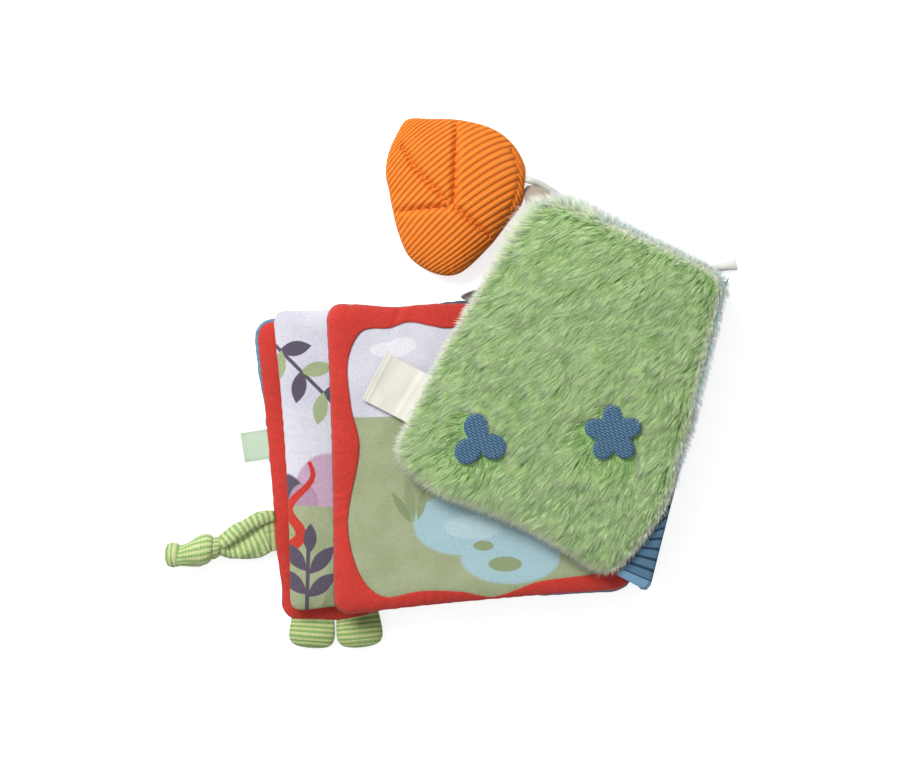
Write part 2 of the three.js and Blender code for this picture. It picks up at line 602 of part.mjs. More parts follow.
// A folded ribbon tag in the left edge, and the sewn-in label of the plush cover, both bare
const TAG_WIDE = 14.5;
const TAG_LONG = 16.5;
const TAG_CLOTH = 1.2;
function ribbon(root, way, across, wide, long, heightAt, thick, rows, columns) {
  const face = (off) =>
    Array.from({ length: rows }, (_, i) => {
      const out = add2(root, mul2(way, (i / (rows - 1)) * long));
      return Array.from({ length: columns }, (_, j) => {
        const v = j / (columns - 1) - 0.5;
        return [...add2(out, mul2(across, v * wide)), heightAt(i / (rows - 1), v) + off];
      });
    });
  return sheet(face(thick / 2), face(-thick / 2));
}
const tagRoot = onSide(BACK, 3, 0.385, SEAM_ROOM);
const tagWay = heading(189);
const tagAcross = heading(99);
const tagLow = TAG_CLOTH / 2 + 0.05;
const tagHeight = (t) => Math.max(tagLow, mix(backSeam, tagLow, Math.min(1, t * 1.25)));
piece('side_tag', ribbon(tagRoot, tagWay, tagAcross, TAG_WIDE, TAG_LONG, tagHeight, TAG_CLOTH, 6, 3), 0xcfe6d3);

const LABEL_WIDE = 31.5;
const LABEL_LONG = 34;
const LABEL_CLOTH = 0.5;
const LABEL_TURN = 152.7;
const LABEL_SHARE = 0.808; // how far down the plush cover's free side it is sewn
const LABEL_OUT = 1.7;
const freeSide = sub2(COVER_CUT[0], COVER_CUT[5]);
const freeOut = mul2([freeSide[1], -freeSide[0]], 1 / len2(freeSide));
const labelBow = (LABEL_SHARE * len2(freeSide) - COVER_CORNER) / (len2(freeSide) - 2 * COVER_CORNER);
const labelOff = LABEL_OUT + COVER_BULGE[5] * 4 * labelBow * (1 - labelBow);
const labelAt = add2(mix2(COVER_CUT[5], COVER_CUT[0], LABEL_SHARE), mul2(freeOut, labelOff));
const labelDirection = heading(LABEL_TURN);
const labelAcross = heading(LABEL_TURN - 90);
const labelLow = frontTop + FIT + BORDER_CLOTH + FIT + LABEL_CLOTH / 2;
const labelHeight = (t) => labelLow + (coverSeam - labelLow) * (1 - Math.min(1, t * 2.6)) ** 1.4 + 0.5 * Math.sin(t * 9) ** 2 * t;
piece('care_label', ribbon(labelAt, labelDirection, labelAcross, LABEL_WIDE, LABEL_LONG, labelHeight, LABEL_CLOTH, 8, 4), 0xf1ece2);

// Quilted corduroy leaf, the toy on the cord
const TOY_CUT = [[-26.1, 158.7], [-11.7, 159.3], [7.3, 158.4], [27.2, 152.6], [38.7, 143.0], [45.2, 130.0], [44.9, 119.4],
  [43.3, 107.8], [34.9, 96.4], [22.5, 81.0], [4.2, 65.7], [-8.8, 66.1], [-24.1, 75.7], [-31.0, 90.2], [-35.1, 106.8],
  [-36.8, 116.2], [-38.7, 125.4], [-37.2, 138.0], [-31.7, 150.7]];
const TOY_VEINS = [
  [[-26.7, 139.2], [-12.6, 120.8], [-0.3, 108.6], [11.7, 97.8], [23.1, 89.4]],
  [[4.2, 108.6], [4.2, 154.5]],
  [[0.9, 105.6], [-16.5, 105.6], [-31.7, 102.6]],
];
const TOY_BELOW = 10.5;
const TOY_ABOVE = 14.5;
const VEIN_DEEP = 4.6;
const VEIN_WIDE = 3.4;
const toySeam = TOY_BELOW;
const toyEdge = (() => {
  const curve = new THREE.CatmullRomCurve3(TOY_CUT.map((p) => new THREE.Vector3(...p, 0)), true, 'centripetal');
  return curve.getSpacedPoints(56).slice(0, 56).map((p) => [p.x, p.y]);
})();
const toyCentre = middleOf(toyEdge);
const offLine = (p, a, b) => {
  const ab = sub2(b, a);
  const ap = sub2(p, a);
  const t = Math.max(0, Math.min(1, (ap[0] * ab[0] + ap[1] * ab[1]) / (ab[0] ** 2 + ab[1] ** 2)));
  return len2(sub2(p, mix2(a, b, t)));
};
const veinAway = (p) =>
  Math.min(...TOY_VEINS.flatMap((line) => line.slice(1).map((b, k) => offLine(p, line[k], b))));
const TOY_SHARES = [0.94, 0.86, 0.76, 0.65, 0.54, 0.43, 0.32, 0.21, 0.1];
const toyCrown = (p, s) => {
  const dome = (1 - s ** 2.6) ** 0.62;
  const groove = VEIN_DEEP * Math.exp(-((veinAway(p) / VEIN_WIDE) ** 2)) * Math.min(1, dome * 1.3);
  return TOY_ABOVE * dome - groove;
};
const toyLoop = (s, drop) =>
  toyEdge.map((p) => {
    const q = mix2(toyCentre, p, s);
    return [...q, toySeam + FIT / 2 + toyCrown(q, s) - drop];
  });
const toyRim = (d) => inset(toyEdge, toyCentre, d).map((p) => [...p, toySeam + FIT / 2]);
const toyPole = (drop) => [...toyCentre, toySeam + FIT / 2 + toyCrown(toyCentre, 0) - drop];
const toyUnder = TOY_SHARES.slice(1);
const toyFace = rings(toyPole(0), [
  ...[...TOY_SHARES].reverse().map((s) => toyLoop(s, 0)),
  toyRim(0),
  toyRim(CLOTH),
  ...toyUnder.map((s) => toyLoop(s, CLOTH)),
], toyPole(CLOTH));
piece('leaf_toy_face', toyFace, ORANGE);
const TOY_ROLL = 13;
piece('leaf_toy_back', skin(toyEdge, toySeam, TOY_BELOW, -1, () => 0, TOY_ROLL), ORANGE);
const toyFillRim = inset(toyEdge, toyCentre, CLOTH + 3 * FIT).map((p) => [...p, toySeam]);
const toyFillLow = ROLL_STEPS.slice(2).map((s) =>
  inset(toyEdge, toyCentre, s * TOY_ROLL).map((p) => {
    const h = FIT / 2 + (TOY_BELOW - FIT / 2) * rise(s * TOY_ROLL, TOY_ROLL) - CLOTH - FIT;
    return [...p, toySeam - h];
  }),
);
const toyFilling = rings(toyPole(CLOTH + FIT), [
  ...[...toyUnder].reverse().map((s) => toyLoop(s, CLOTH + FIT)),
  toyFillRim,
  ...toyFillLow,
], [...toyCentre, CLOTH + FIT]);

// Rattle capsule in the toy: two cups and a bead
const RATTLE_ACROSS = 19;
const RATTLE_TALL = 14;
const RATTLE_WALL = 1.2;
const BEAD_ACROSS = 6.4;
const rattleAt = [-11.5, 92.5];
const rattleHigh = CLOTH + FIT + 0.6 + RATTLE_TALL / 2;
const rattleR = RATTLE_ACROSS / 2;
const rattleWell = wasm.Manifold.cylinder(4 * RATTLE_TALL, rattleR + FIT, undefined, 24, true)
  .translate([...rattleAt, rattleHigh]);
piece('leaf_toy_filling', fromManifold(toManifold(toyFilling).subtract(rattleWell)), WADDING);
const cupProfile = (way) => {
  const half = RATTLE_TALL / 2;
  const outer = [[0, half], [rattleR * 0.62, half], [rattleR * 0.92, half * 0.66], [rattleR, FIT / 2]];
  const inner = [[rattleR - RATTLE_WALL, FIT / 2], [rattleR * 0.92 - RATTLE_WALL, half * 0.66 - RATTLE_WALL * 0.6],
    [rattleR * 0.62 - RATTLE_WALL * 0.4, half - RATTLE_WALL], [0, half - RATTLE_WALL]];
  return [...outer, ...inner].map(([r, h]) => [r, way * h]);
};
piece('rattle_cup_high', turned(cupProfile(1), rattleAt, rattleHigh, 20), 0xe8e4d8);
piece('rattle_cup_low', turned(cupProfile(-1), rattleAt, rattleHigh, 20), 0xe8e4d8);
const beadR = BEAD_ACROSS / 2;
const bead = new THREE.SphereGeometry(beadR, 12, 8);
bead.translate(...rattleAt, rattleHigh - RATTLE_TALL / 2 + RATTLE_WALL + FIT + beadR);
piece('rattle_bead', solid(
  Array.from({ length: bead.attributes.position.count }, (_, i) => [
    bead.attributes.position.getX(i), bead.attributes.position.getY(i), bead.attributes.position.getZ(i)]),
  Array.from({ length: bead.index.count / 3 }, (_, i) => [0, 1, 2].map((k) => bead.index.getX(3 * i + k))),
), 0x4b6f8d);

// Satin cord from the toy, through a loop at the top of the spine, to a free flared end
const CORD_THICK = 5;
const cordR = CORD_THICK / 2;
const LOOP_WALL = 1.1;
const LOOP_WIDE = 8;
const LOOP_SHARE = 0.78; // how far along the top of the back spine flap the loop is sewn
const TOY_HANGS_AT = 121.2;
const CORD_PATH = [[53.4, 119.2], [59.6, 116.0], [68.3, 110.8], [80.3, 101.4], [93.5, 90.6], [108.1, 79.8], [122.3, 71.2]];
const CORD_TAIL = [[159.3, 69.2], [166.5, 70.5], [172.8, 71.7]];
const CORD_DROP = 3; // path steps over which it comes down from the toy's seam to the table
const loopOut = cordR + FIT + LOOP_WALL;
const cordLow = cordR + 0.15;
const toySide = Math.max(...toyEdge.map((p) => p[0]));
const toyPivot = [toySide + cordR + FIT, TOY_HANGS_AT];
const flapTop = [
  add2(leafCorners(BACK)[2], [FIT, -CORNER * 0.6]),
  onFold(SPINE_LONG * 0.975, -SPINE_HOLD),
];
const loopWay = mul2(sub2(flapTop[1], flapTop[0]), 1 / len2(sub2(flapTop[1], flapTop[0])));
const loopAt = add2(mix2(flapTop[0], flapTop[1], LOOP_SHARE), mul2([-loopWay[1], loopWay[0]], loopOut + 2 * FIT));
const loopHigh = Math.max(loopOut + FIT, backSeam);
const cordPath = [
  [toyPivot[0] - cordR * 0.96, toyPivot[1], toySeam],
  [toyPivot[0] - cordR * 0.7, toyPivot[1], toySeam],
  [...toyPivot, toySeam],
  ...CORD_PATH.map((p, k) => [...p, mix(toySeam, cordLow, Math.min(1, (k + 1) / CORD_DROP))]),
  ...[-1, 0, 1].map((k) => [...add2(loopAt, mul2(loopWay, k * LOOP_WIDE)), loopHigh]),
  ...CORD_TAIL.map((p) => [...p, cordLow]),
];
const cordWidths = cordPath.map((_, k) => (k === 0 ? cordR * 0.25 : k === 1 ? cordR * 0.72 : cordR));
const cordHeights = [...cordWidths];
cordWidths[cordPath.length - 1] = cordR * 1.35;
cordHeights[cordPath.length - 1] = cordR * 0.8;
piece('hanging_cord', tube(cordPath, cordWidths, cordHeights, 10), 0xdcdcd6);
const loopEnd = (k) => [...add2(loopAt, mul2(loopWay, (k * LOOP_WIDE) / 2)), loopHigh];
piece('cord_loop', wrap(loopEnd(-1), loopEnd(1), cordR, LOOP_WALL, 0, 0), CORDUROY_BLUE);

// The origin is the middle of the footprint, on the table. The free cord doesn't count in it.
const footprint = new THREE.Box3();
for (const mesh of pieces) {
  mesh.geometry.computeBoundingBox();
  if (mesh.name !== 'hanging_cord') footprint.union(mesh.geometry.boundingBox);
}
const origin = footprint.getCenter(new THREE.Vector3()).setZ(footprint.min.z);
const group = new THREE.Group();
group.name = 'baby_activity_book';
for (const mesh of pieces) {
  mesh.geometry.translate(-origin.x, -origin.y, -origin.z);
  group.add(mesh);
}
const shifted = (p) => p.map((v, k) => v - origin.getComponent(k));
group.userData.places = {
  fold: shifted([...FOLD_FOOT, foldHigh]),
  foldTop: shifted([...onFold(SPINE_LONG, 0), foldHigh]),
  label: shifted([...labelAt, coverSeam]),
  tag: shifted([...tagRoot, backSeam]),
  tail: shifted([...tailRoot, backSeam]),
  leftFoot: shifted([...onSide(BACK, 0, FEET[0].t, SEAM_ROOM), backSeam]),
  rightFoot: shifted([...onSide(BACK, 0, FEET[1].t, SEAM_ROOM), backSeam]),
  toy: shifted([...toyPivot, toySeam]),
};
export default group;
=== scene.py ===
# %% [markdown]
# This lesson dresses a soft activity book for a baby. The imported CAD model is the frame: it says
# where each leaf, flap, foot and cord is, and which piece turns on which hinge. Here every piece
# gets its cloth, its seams and its pile. Lengths are written in millimetres and multiplied by MM.

# %% Load the frame
import json
import math

import bmesh
import bpy
import numpy as np
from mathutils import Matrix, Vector

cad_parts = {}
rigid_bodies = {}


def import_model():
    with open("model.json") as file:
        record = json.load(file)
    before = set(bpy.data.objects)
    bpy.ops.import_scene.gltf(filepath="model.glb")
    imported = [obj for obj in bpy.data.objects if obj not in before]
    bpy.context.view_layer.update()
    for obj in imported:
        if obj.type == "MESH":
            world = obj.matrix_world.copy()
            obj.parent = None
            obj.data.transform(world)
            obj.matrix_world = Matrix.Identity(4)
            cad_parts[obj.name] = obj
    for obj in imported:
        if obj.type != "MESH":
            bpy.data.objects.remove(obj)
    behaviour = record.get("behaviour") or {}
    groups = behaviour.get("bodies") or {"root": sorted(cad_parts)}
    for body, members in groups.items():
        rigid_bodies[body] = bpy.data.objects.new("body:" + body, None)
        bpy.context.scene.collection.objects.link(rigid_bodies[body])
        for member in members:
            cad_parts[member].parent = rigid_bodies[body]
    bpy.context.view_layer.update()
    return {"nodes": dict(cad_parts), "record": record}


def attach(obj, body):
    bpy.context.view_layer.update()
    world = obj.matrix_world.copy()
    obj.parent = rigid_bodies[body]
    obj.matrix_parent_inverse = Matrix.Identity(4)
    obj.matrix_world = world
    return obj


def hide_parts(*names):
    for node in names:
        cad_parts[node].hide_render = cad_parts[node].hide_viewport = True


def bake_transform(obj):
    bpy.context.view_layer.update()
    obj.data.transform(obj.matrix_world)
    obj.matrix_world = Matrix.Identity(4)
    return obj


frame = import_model()
MM = 0.001
joints = {j["name"]: j for j in frame["record"]["behaviour"]["joints"]}
fold_at = np.array(joints["middle_page_hinge"]["pos_m"]) / MM
fold_way = np.array(joints["middle_page_hinge"]["axis"])[:2]
fold_out = np.array([fold_way[1], -fold_way[0]])
# The cutting plan below is written from the photographed middle; the frame is centred on the book.
FOLD_FOOT = np.array([124.7, -124.6])
SHIFT = fold_at[:2] - FOLD_FOOT
print("fold line at", fold_at.round(2), "mm, plan shifted by", SHIFT.round(2))

# %% [markdown]
# The camera looks straight down, as the photograph does, through a long lens so that the leaves
# keep their true shape. The frame is 540 mm wide at the table.

# %% Camera
VIEW_WIDE = 540 * MM
CAMERA_UP = 3.2
lens = bpy.data.cameras.new("camera")
lens.sensor_width = 36
lens.lens = 36 * CAMERA_UP / VIEW_WIDE
lens.clip_end = 20
camera = bpy.data.objects.new("camera", lens)
camera.location = (SHIFT[0] * MM, SHIFT[1] * MM, CAMERA_UP + 0.02)
bpy.context.scene.collection.objects.link(camera)
bpy.context.scene.camera = camera
bpy.context.scene.view_settings.view_transform = "Standard"

# %% [markdown]
# A wrapped socket lets shader maths read like ordinary Python: `1 - mask * 0.3` adds the Math
# nodes it needs. Every other node comes from `Finish.node`, which first sets the node's settings
# and then its sockets.

# %% Shader maths
class Value:
    def __init__(self, finish, socket):
        self.finish, self.socket = finish, socket

    def maths(self, operation, *inputs):
        values = {k: v for k, v in enumerate(inputs)}
        return self.finish.node("ShaderNodeMath", {"operation": operation}, values)

    def __add__(self, other):
        return self.maths("ADD", self, other)

    def __radd__(self, other):
        return self.maths("ADD", other, self)

    def __sub__(self, other):
        return self.maths("SUBTRACT", self, other)

    def __rsub__(self, other):
        return self.maths("SUBTRACT", other, self)

    def __mul__(self, other):
        return self.maths("MULTIPLY", self, other)

    def __rmul__(self, other):
        return self.maths("MULTIPLY", other, self)

    def __truediv__(self, other):
        return self.maths("DIVIDE", self, other)

    def __pow__(self, other):
        return self.maths("POWER", self, other)

    def __gt__(self, other):
        return self.maths("GREATER_THAN", self, other)

    def __lt__(self, other):
        return self.maths("LESS_THAN", self, other)

    def sin(self):
        return self.maths("SINE", self)

    def abs(self):
        return self.maths("ABSOLUTE", self)

    def sqrt(self):
        return self.maths("SQRT", self)

    def floor(self):
        return self.maths("FLOOR", self)

    def least(self, other):
        return self.maths("MINIMUM", self, other)

    def most(self, other):
        return self.maths("MAXIMUM", self, other)

    def smooth(self, low, high):
        """0 below low, 1 above high, and an even slope between them."""
        return self.finish.node("ShaderNodeMapRange", {"interpolation_type": "SMOOTHSTEP"},
                                {"Value": self, "From Min": low, "From Max": high})


class Finish:
    """One material: a Principled shader, with helpers to feed it."""

    def __init__(self, name, roughness=0.9, sheen=0.0):
        self.material = bpy.data.materials.new(name)
        self.material.use_nodes = True
        self.tree = self.material.node_tree
        self.shader = next(n for n in self.tree.nodes if n.type == "BSDF_PRINCIPLED")
        self.shader.inputs["Roughness"].default_value = roughness
        self.shader.inputs["Specular IOR Level"].default_value = 0.25
        if sheen:
            self.shader.inputs["Sheen Weight"].default_value = sheen
            self.shader.inputs["Sheen Roughness"].default_value = 0.45
        where = self.tree.nodes.new("ShaderNodeTexCoord")
        self.place = Value(self, where.outputs["Object"])

    def node(self, kind, settings=None, values=None, out=0):
        made = self.tree.nodes.new(kind)
        for key, value in (settings or {}).items():
            if key == "stops":
                ramp = made.color_ramp
                while len(ramp.elements) < len(value):
                    ramp.elements.new(0.5)
                for element, (at, colour) in zip(ramp.elements, value):
                    element.position, element.color = at, (*colour, 1)
            else:
                setattr(made, key, value)
        for key, value in (values or {}).items():
            socket = made.inputs[key]
            if isinstance(value, Value):
                self.tree.links.new(value.socket, socket)
            elif isinstance(value, (tuple, list)) and socket.type == "RGBA" and len(value) == 3:
                socket.default_value = (*value, 1)
            else:
                socket.default_value = value
        return Value(self, made.outputs[out])

    def xyz(self, vector=None):
        parts = self.tree.nodes.new("ShaderNodeSeparateXYZ")
        self.tree.links.new((vector or self.place).socket, parts.inputs[0])
        return [Value(self, parts.outputs[k]) for k in range(3)]

    def noise(self, scale, detail=2.0, roughness=0.5, vector=None):
        return self.node("ShaderNodeTexNoise", {},
                         {"Vector": vector or self.place, "Scale": scale, "Detail": detail,
                          "Roughness": roughness})

    def mix(self, factor, a, b, blend="MIX"):
        made = self.tree.nodes.new("ShaderNodeMix")
        made.data_type, made.blend_type = "RGBA", blend
        for key, value in ((0, factor), (6, a), (7, b)):
            if isinstance(value, Value):
                self.tree.links.new(value.socket, made.inputs[key])
            elif key == 0:
                made.inputs[0].default_value = value
            else:
                made.inputs[key].default_value = (*value, 1)
        return Value(self, made.outputs[2])

    def colour(self, value):
        if isinstance(value, Value):
            self.tree.links.new(value.socket, self.shader.inputs["Base Color"])
        else:
            self.shader.inputs["Base Color"].default_value = (*value, 1)

    def bump(self, height, strength, distance):
        relief = self.node("ShaderNodeBump", {},
                           {"Height": height, "Strength": strength, "Distance": distance * MM})
        self.tree.links.new(relief.socket, self.shader.inputs["Normal"])

    def uv(self):
        return self.node("ShaderNodeUVMap", {"uv_map": "cloth"})


def srgb(code):
    """A colour written as in a paint chart, turned into the light values that a shader takes."""
    parts = [int(code[k:k + 2], 16) / 255 for k in (0, 2, 4)]
    return tuple(c / 12.92 if c < 0.04045 else ((c + 0.055) / 1.055) ** 2.4 for c in parts)


print("shader maths ready; mid grey is", round(srgb("808080")[0], 3))

# %% [markdown]
# Woven cotton shows two sets of threads that cross. At reading distance they are only a fine
# grain, so they are a small bump, with a slow change of tone where the cloth was dyed and rubbed.

# %% Woven cotton
THREAD = 0.55
# the line past which the lining is painted with the turned-over blue cloth, in its shaded tone
TURNED_AT, TURNED_SLOPE, TURNED_FROM = 43.0, 0.142, -48


def weave(finish, vector=None, pitch=THREAD):
    x, y, _ = finish.xyz(vector)
    step = 2 * math.pi / (pitch * MM)
    warp = (x * step).sin()
    weft = (y * step).sin()
    over = warp * weft
    return over + finish.noise(900, 2, 0.6, vector) * 0.8


def cotton(name, colour, darker, tone=0.25, turned=None, below=None):
    """turned is a colour that shows past a sloping line: cloth from the other side, turned over the edge,
    painted in the dark tone that it has in shade.
    below is a level across the table, in mm, and a darker colour painted on the near side of it: painted
    shade."""
    finish = Finish(name, 0.88, 0.15)
    patch = finish.noise(28, 3, 0.55).smooth(0.35, 0.7)
    fleck = finish.noise(800, 3, 0.7).smooth(0.3, 0.72)
    shade = finish.mix(patch * tone + fleck * 0.5, colour, darker)
    if turned is not None:
        x, y, _ = finish.xyz()
        past = y - x * TURNED_SLOPE - (TURNED_AT + SHIFT[1] - SHIFT[0] * TURNED_SLOPE) * MM
        shade = finish.mix(past.smooth(-0.0003, 0.0003) * (x > (TURNED_FROM + SHIFT[0]) * MM), shade,
                           turned)
    if below is not None:
        _, y, _ = finish.xyz()
        shade = finish.mix(1 - (y > (below[0] + SHIFT[1]) * MM), shade, below[1])
    finish.colour(shade)
    finish.bump(weave(finish) + finish.noise(140, 3, 0.6) * 2.0, 0.5, 0.25)
    return finish.material


red_cotton = cotton("red cotton", srgb("CF3D33"), srgb("A32A22"))
# the top edge shows the blue cloth turned over it: partly the cloth's own colour, partly painted shade
lining_red = cotton("red cotton, turned edge in painted shade", srgb("CF3D33"), srgb("A32A22"), turned=srgb("3C566F"))
print("cotton thread pitch", THREAD, "mm")

# %% [markdown]
# Corduroy is cut pile in ribs. The ribs are real relief on the pieces that have room for them.
# The finish adds what relief can't: painted shade in the valleys and between rows of tufts, a paler crest,
# paler worn patches, and painted highlights where the pile catches the light in short brushed flecks along
# the rib.

# %% Corduroy
BLUE_RIB = 6.6
ORANGE_RIB = 3.4
TUFT_STEP = 0.00145  # from one row of cut tufts to the next, in metres


def corduroy(name, crest, valley_shade, rib, shade=0.88, notch=0.2, hem=None, valley_wide=0.55):
    """The cloth map holds the place along a rib and across the ribs, in metres. notch is how far the
    rows of tufts part.
    Where the map runs below zero across the ribs, the cloth is a flat hem of its own colour."""
    finish = Finish(name, 0.92, 0.35)
    finish.shader.inputs["Sheen Tint"].default_value = (*crest, 1)
    where = finish.uv()
    along, across, _ = finish.xyz(where)
    wander = finish.noise(60, 2, 0.5, where) - 0.5
    phase = across * (2 * math.pi / (rib * MM)) + wander * 0.4
    wave = phase.sin() * 0.5 + 0.5
    crown = wave.smooth(0.04, valley_wide)
    stretched = finish.node("ShaderNodeCombineXYZ", {}, {0: along, 1: across * 0.55, 2: 0.0})
    fleck = finish.noise(1100, 3, 0.7, stretched)
    loose = (finish.noise(260, 2, 0.5, where) - 0.5) * 2.2
    tuft = ((along + across * 0.45) * (2 * math.pi / TUFT_STEP) + loose).sin() * 0.5 + 0.5
    gap = 1 - tuft.smooth(0.0, 0.5)
    wear = finish.noise(45, 3, 0.6, where).smooth(0.4, 0.75)
    # pale flecks on the crest are painted highlights where the pile catches the light; the paler patches
    # are worn pile
    pale = tuple(min(1, k * 1.22 + 0.01) for k in crest)
    crest_sheen_wear_and_shade = finish.mix(fleck.smooth(0.35, 0.75) * 0.45 + wear * 0.2, crest, pale)
    # painted shade in the gaps between rows of tufts
    crest_sheen_wear_and_shade = finish.mix(gap * notch, crest_sheen_wear_and_shade, valley_shade)
    # painted shade in the rib valleys: the valley colour stands in for it against the crest
    ribbed = finish.mix(crown * shade + (1 - shade), valley_shade, crest_sheen_wear_and_shade)
    finish.colour(ribbed if hem is None
                  else finish.mix(1 - (across > 0.0), ribbed, finish.mix(fleck * 0.4, hem, crest)))
    finish.bump(crown + fleck * 0.3 - gap * crown * notch * 1.2, 0.6, 0.5 * rib / ORANGE_RIB)
    return finish.material


# the second colour of each corduroy is the painted shade of its valleys
blue_corduroy = corduroy("blue corduroy", srgb("6287A3"), srgb("2F4A63"), BLUE_RIB)
# the spine's corduroy is the blue corduroy painted darker: painted shade on the rolls and flaps, which face
# away from the lamp
spine_corduroy_shaded = corduroy("blue corduroy, spine, painted shade", srgb("4C6D86"), srgb("1F3447"), BLUE_RIB, 0.95,
                          hem=srgb("6F93AD"),
                          valley_wide=0.3)
orange_corduroy = corduroy("orange corduroy", srgb("F28C30"), srgb("B9521A"), ORANGE_RIB, 0.68, notch=0.62)
print("ribs", BLUE_RIB, "and", ORANGE_RIB, "mm apart")

# %% [markdown]
# The two printed leaves show a plain countryside: a pale sky over a green meadow. The front leaf
# has clouds, a pond and blades of grass, the middle one a branch, hills, a winding path and a
# sprig. Each shape is a soft-edged disc, petal or stroke worked out from the place on the leaf, so
# the print has no seams and needs no picture file.

# %% Printed cotton
def disc(x, y, cx, cy, rx, ry, wobble=None, edge=0.05):
    """1 inside an ellipse, 0 outside."""
    dx = (x - (cx + SHIFT[0]) * MM) / (rx * MM)
    dy = (y - (cy + SHIFT[1]) * MM) / (ry * MM)
    away = (dx * dx + dy * dy).sqrt()
    if wobble is not None:
        away = away + wobble
    return 1 - away.smooth(1 - edge, 1 + edge)


def petal(x, y, cx, cy, long, wide, degrees, edge=0.0003):
    """1 inside a leaf with two points, 0 outside."""
    c, s = math.cos(math.radians(degrees)), math.sin(math.radians(degrees))
    dx = x - (cx + SHIFT[0]) * MM
    dy = y - (cy + SHIFT[1]) * MM
    a = (dx * c + dy * s) / (long * MM / 2)
    b = (dy * c - dx * s).abs()
    return ((1 - a * a) * (wide * MM / 2) - b).smooth(-edge, edge)


def stroke(x, y, x0, y0, x1, y1, wide):
    """1 along a thick line with round ends."""
    long = math.hypot(x1 - x0, y1 - y0)
    ux, uy = (x1 - x0) / long, (y1 - y0) / long
    dx = x - (x0 + SHIFT[0]) * MM
    dy = y - (y0 + SHIFT[1]) * MM
    t = (dx * ux + dy * uy).most(0.0).least(long * MM)
    away = ((dx - t * ux) ** 2 + (dy - t * uy) ** 2).sqrt()
    return 1 - away.smooth(wide * MM / 2 - 0.0003, wide * MM / 2 + 0.0003)


def printed(name, horizon, hill_high, shapes):
    finish = Finish(name, 0.86, 0.12)
    x, y, _ = finish.xyz()
    fine = finish.noise(160, 3, 0.6)
    wobble = (fine - 0.5) * 0.08
    wash = finish.noise(60, 3, 0.6).smooth(0.3, 0.7)
    sky = finish.mix(finish.noise(30, 2).smooth(0.3, 0.7), srgb("DCDBE4"), srgb("CFCEDB"))
    meadow = finish.mix(wash, srgb("A9B28D"), srgb("9EA882"))
    hill = (x * (2 * math.pi / (150 * MM)) + 0.7).sin() * (hill_high * MM)
    ground = 1 - (y - hill).smooth((horizon + SHIFT[1]) * MM - 0.0004, (horizon + SHIFT[1]) * MM + 0.0004)
    over_ground = [k for k in shapes if k[0] == "hill"]
    colour = sky
    for _, tint, cx, cy, rx, ry in over_ground:
        colour = finish.mix(disc(x, y, cx, cy, rx, ry, wobble * 0.3), colour, srgb(tint))
    colour = finish.mix(ground, colour, meadow)
    for kind, tint, *where in shapes:
        if kind == "hill":
            continue
        mask = (disc(x, y, *where, wobble) if kind == "disc" else
                petal(x, y, *where) if kind == "petal" else stroke(x, y, *where))
        base = srgb(tint)
        colour = finish.mix(mask, colour, finish.mix(wash * 0.3, base, tuple(k * 0.85 for k in base)))
    fleck = finish.noise(800, 3, 0.7).smooth(0.28, 0.75)
    colour = finish.mix(fleck * 0.55, colour, (0.66, 0.66, 0.66), "MULTIPLY")
    finish.colour(colour)
    finish.bump(weave(finish), 0.5, 0.2)
    return finish.material


FRONT_SHAPES = [
    ("disc", "A9C9D0", 8, -84, 30, 19), ("disc", "A9C9D0", 36, -103, 30, 17),
    ("disc", "B8D5DA", 14, -86, 17, 7),
    ("disc", "94A27A", 33, -108, 10, 4.5), ("disc", "94A27A", 20, -97, 6, 3),
    ("petal", "94A27A", -24, -70, 26, 6, 100), ("petal", "8A9870", -29, -74, 22, 5, 122),
    ("petal", "94A27A", -17, -72, 20, 5, 78),
    ("disc", "EBEAF0", -36, 20, 12, 4.5), ("disc", "EBEAF0", -28, 23, 8, 4.5),
]
# A path winds down the hill and widens.
PATH_STEPS, PATH_TOP, PATH_LOW, PATH_SWING = 15, -48, -100, 6.5
path_share = [k / PATH_STEPS for k in range(PATH_STEPS + 1)]
PATH_BENDS = [(-86 - 17 * t * t + PATH_SWING * (0.5 + t) * math.sin(8.5 * t + 0.6),
               PATH_TOP + (PATH_LOW - PATH_TOP) * t) for t in path_share]
MIDDLE_SHAPES = [
    ("hill", "C4A5BD", -74, -68, 20, 26), ("hill", "5C5364", -100, -72, 14, 18),
    ("hill", "B493AC", -88, -72, 9, 12),
    *[("stroke", "CB3B30", *a, *b, 2.6 + 5 * t) for a, b,
      t in zip(PATH_BENDS[:-1], PATH_BENDS[1:], path_share)],
    ("stroke", "5C5364", -112, 30, -70, -12, 2.2),
    *[("petal", tint, x, y, 20, 9, turn) for tint, x, y, turn in (
        ("5C5364", -93, 21, 10), ("A3B086", -103, 10, -100), ("A3B086", -80, 8.6, 10),
        ("5C5364", -90.6, -2, -100),
        ("5C5364", -67, -4.5, 10), ("A3B086", -77.7, -15, -100))],
    ("stroke", "5C5364", -86, -138, -85, -100, 2.4), ("petal", "5C5364", -93, -104, 22, 9, 128),
    ("petal", "5C5364", -77, -106, 22, 9, 48), ("petal", "5C5364", -94, -119, 22, 9, 136),
    ("petal", "5C5364", -77, -121, 22, 9, 40), ("petal", "5C5364", -84, -93, 18, 8, 88),
    ("petal", "93A275", -73, -131, 24, 6, 76), ("petal", "93A275", -101, -130, 18, 5, 104),
]
front_print = printed("printed cotton, front leaf", -19, 1.2, FRONT_SHAPES)
middle_print = printed("printed cotton, middle leaf", -73, 1.5, MIDDLE_SHAPES)
print("print shapes:", len(FRONT_SHAPES) + len(MIDDLE_SHAPES))

# %% [markdown]
# A sewn, padded leaf is two skins with wadding between them. Each skin starts as one flat grid.
# The grid is laid over the leaf's outline, ring by ring, and lifted: steeply near the seam,
# where the cloth rolls over the wadding, and almost level in the middle. The thread pulls the
# edge in, which leaves small puckers that fade away from the seam.

# %% Outlines
def heading(degrees):
    return np.array([math.cos(math.radians(degrees)), math.sin(math.radians(degrees))])


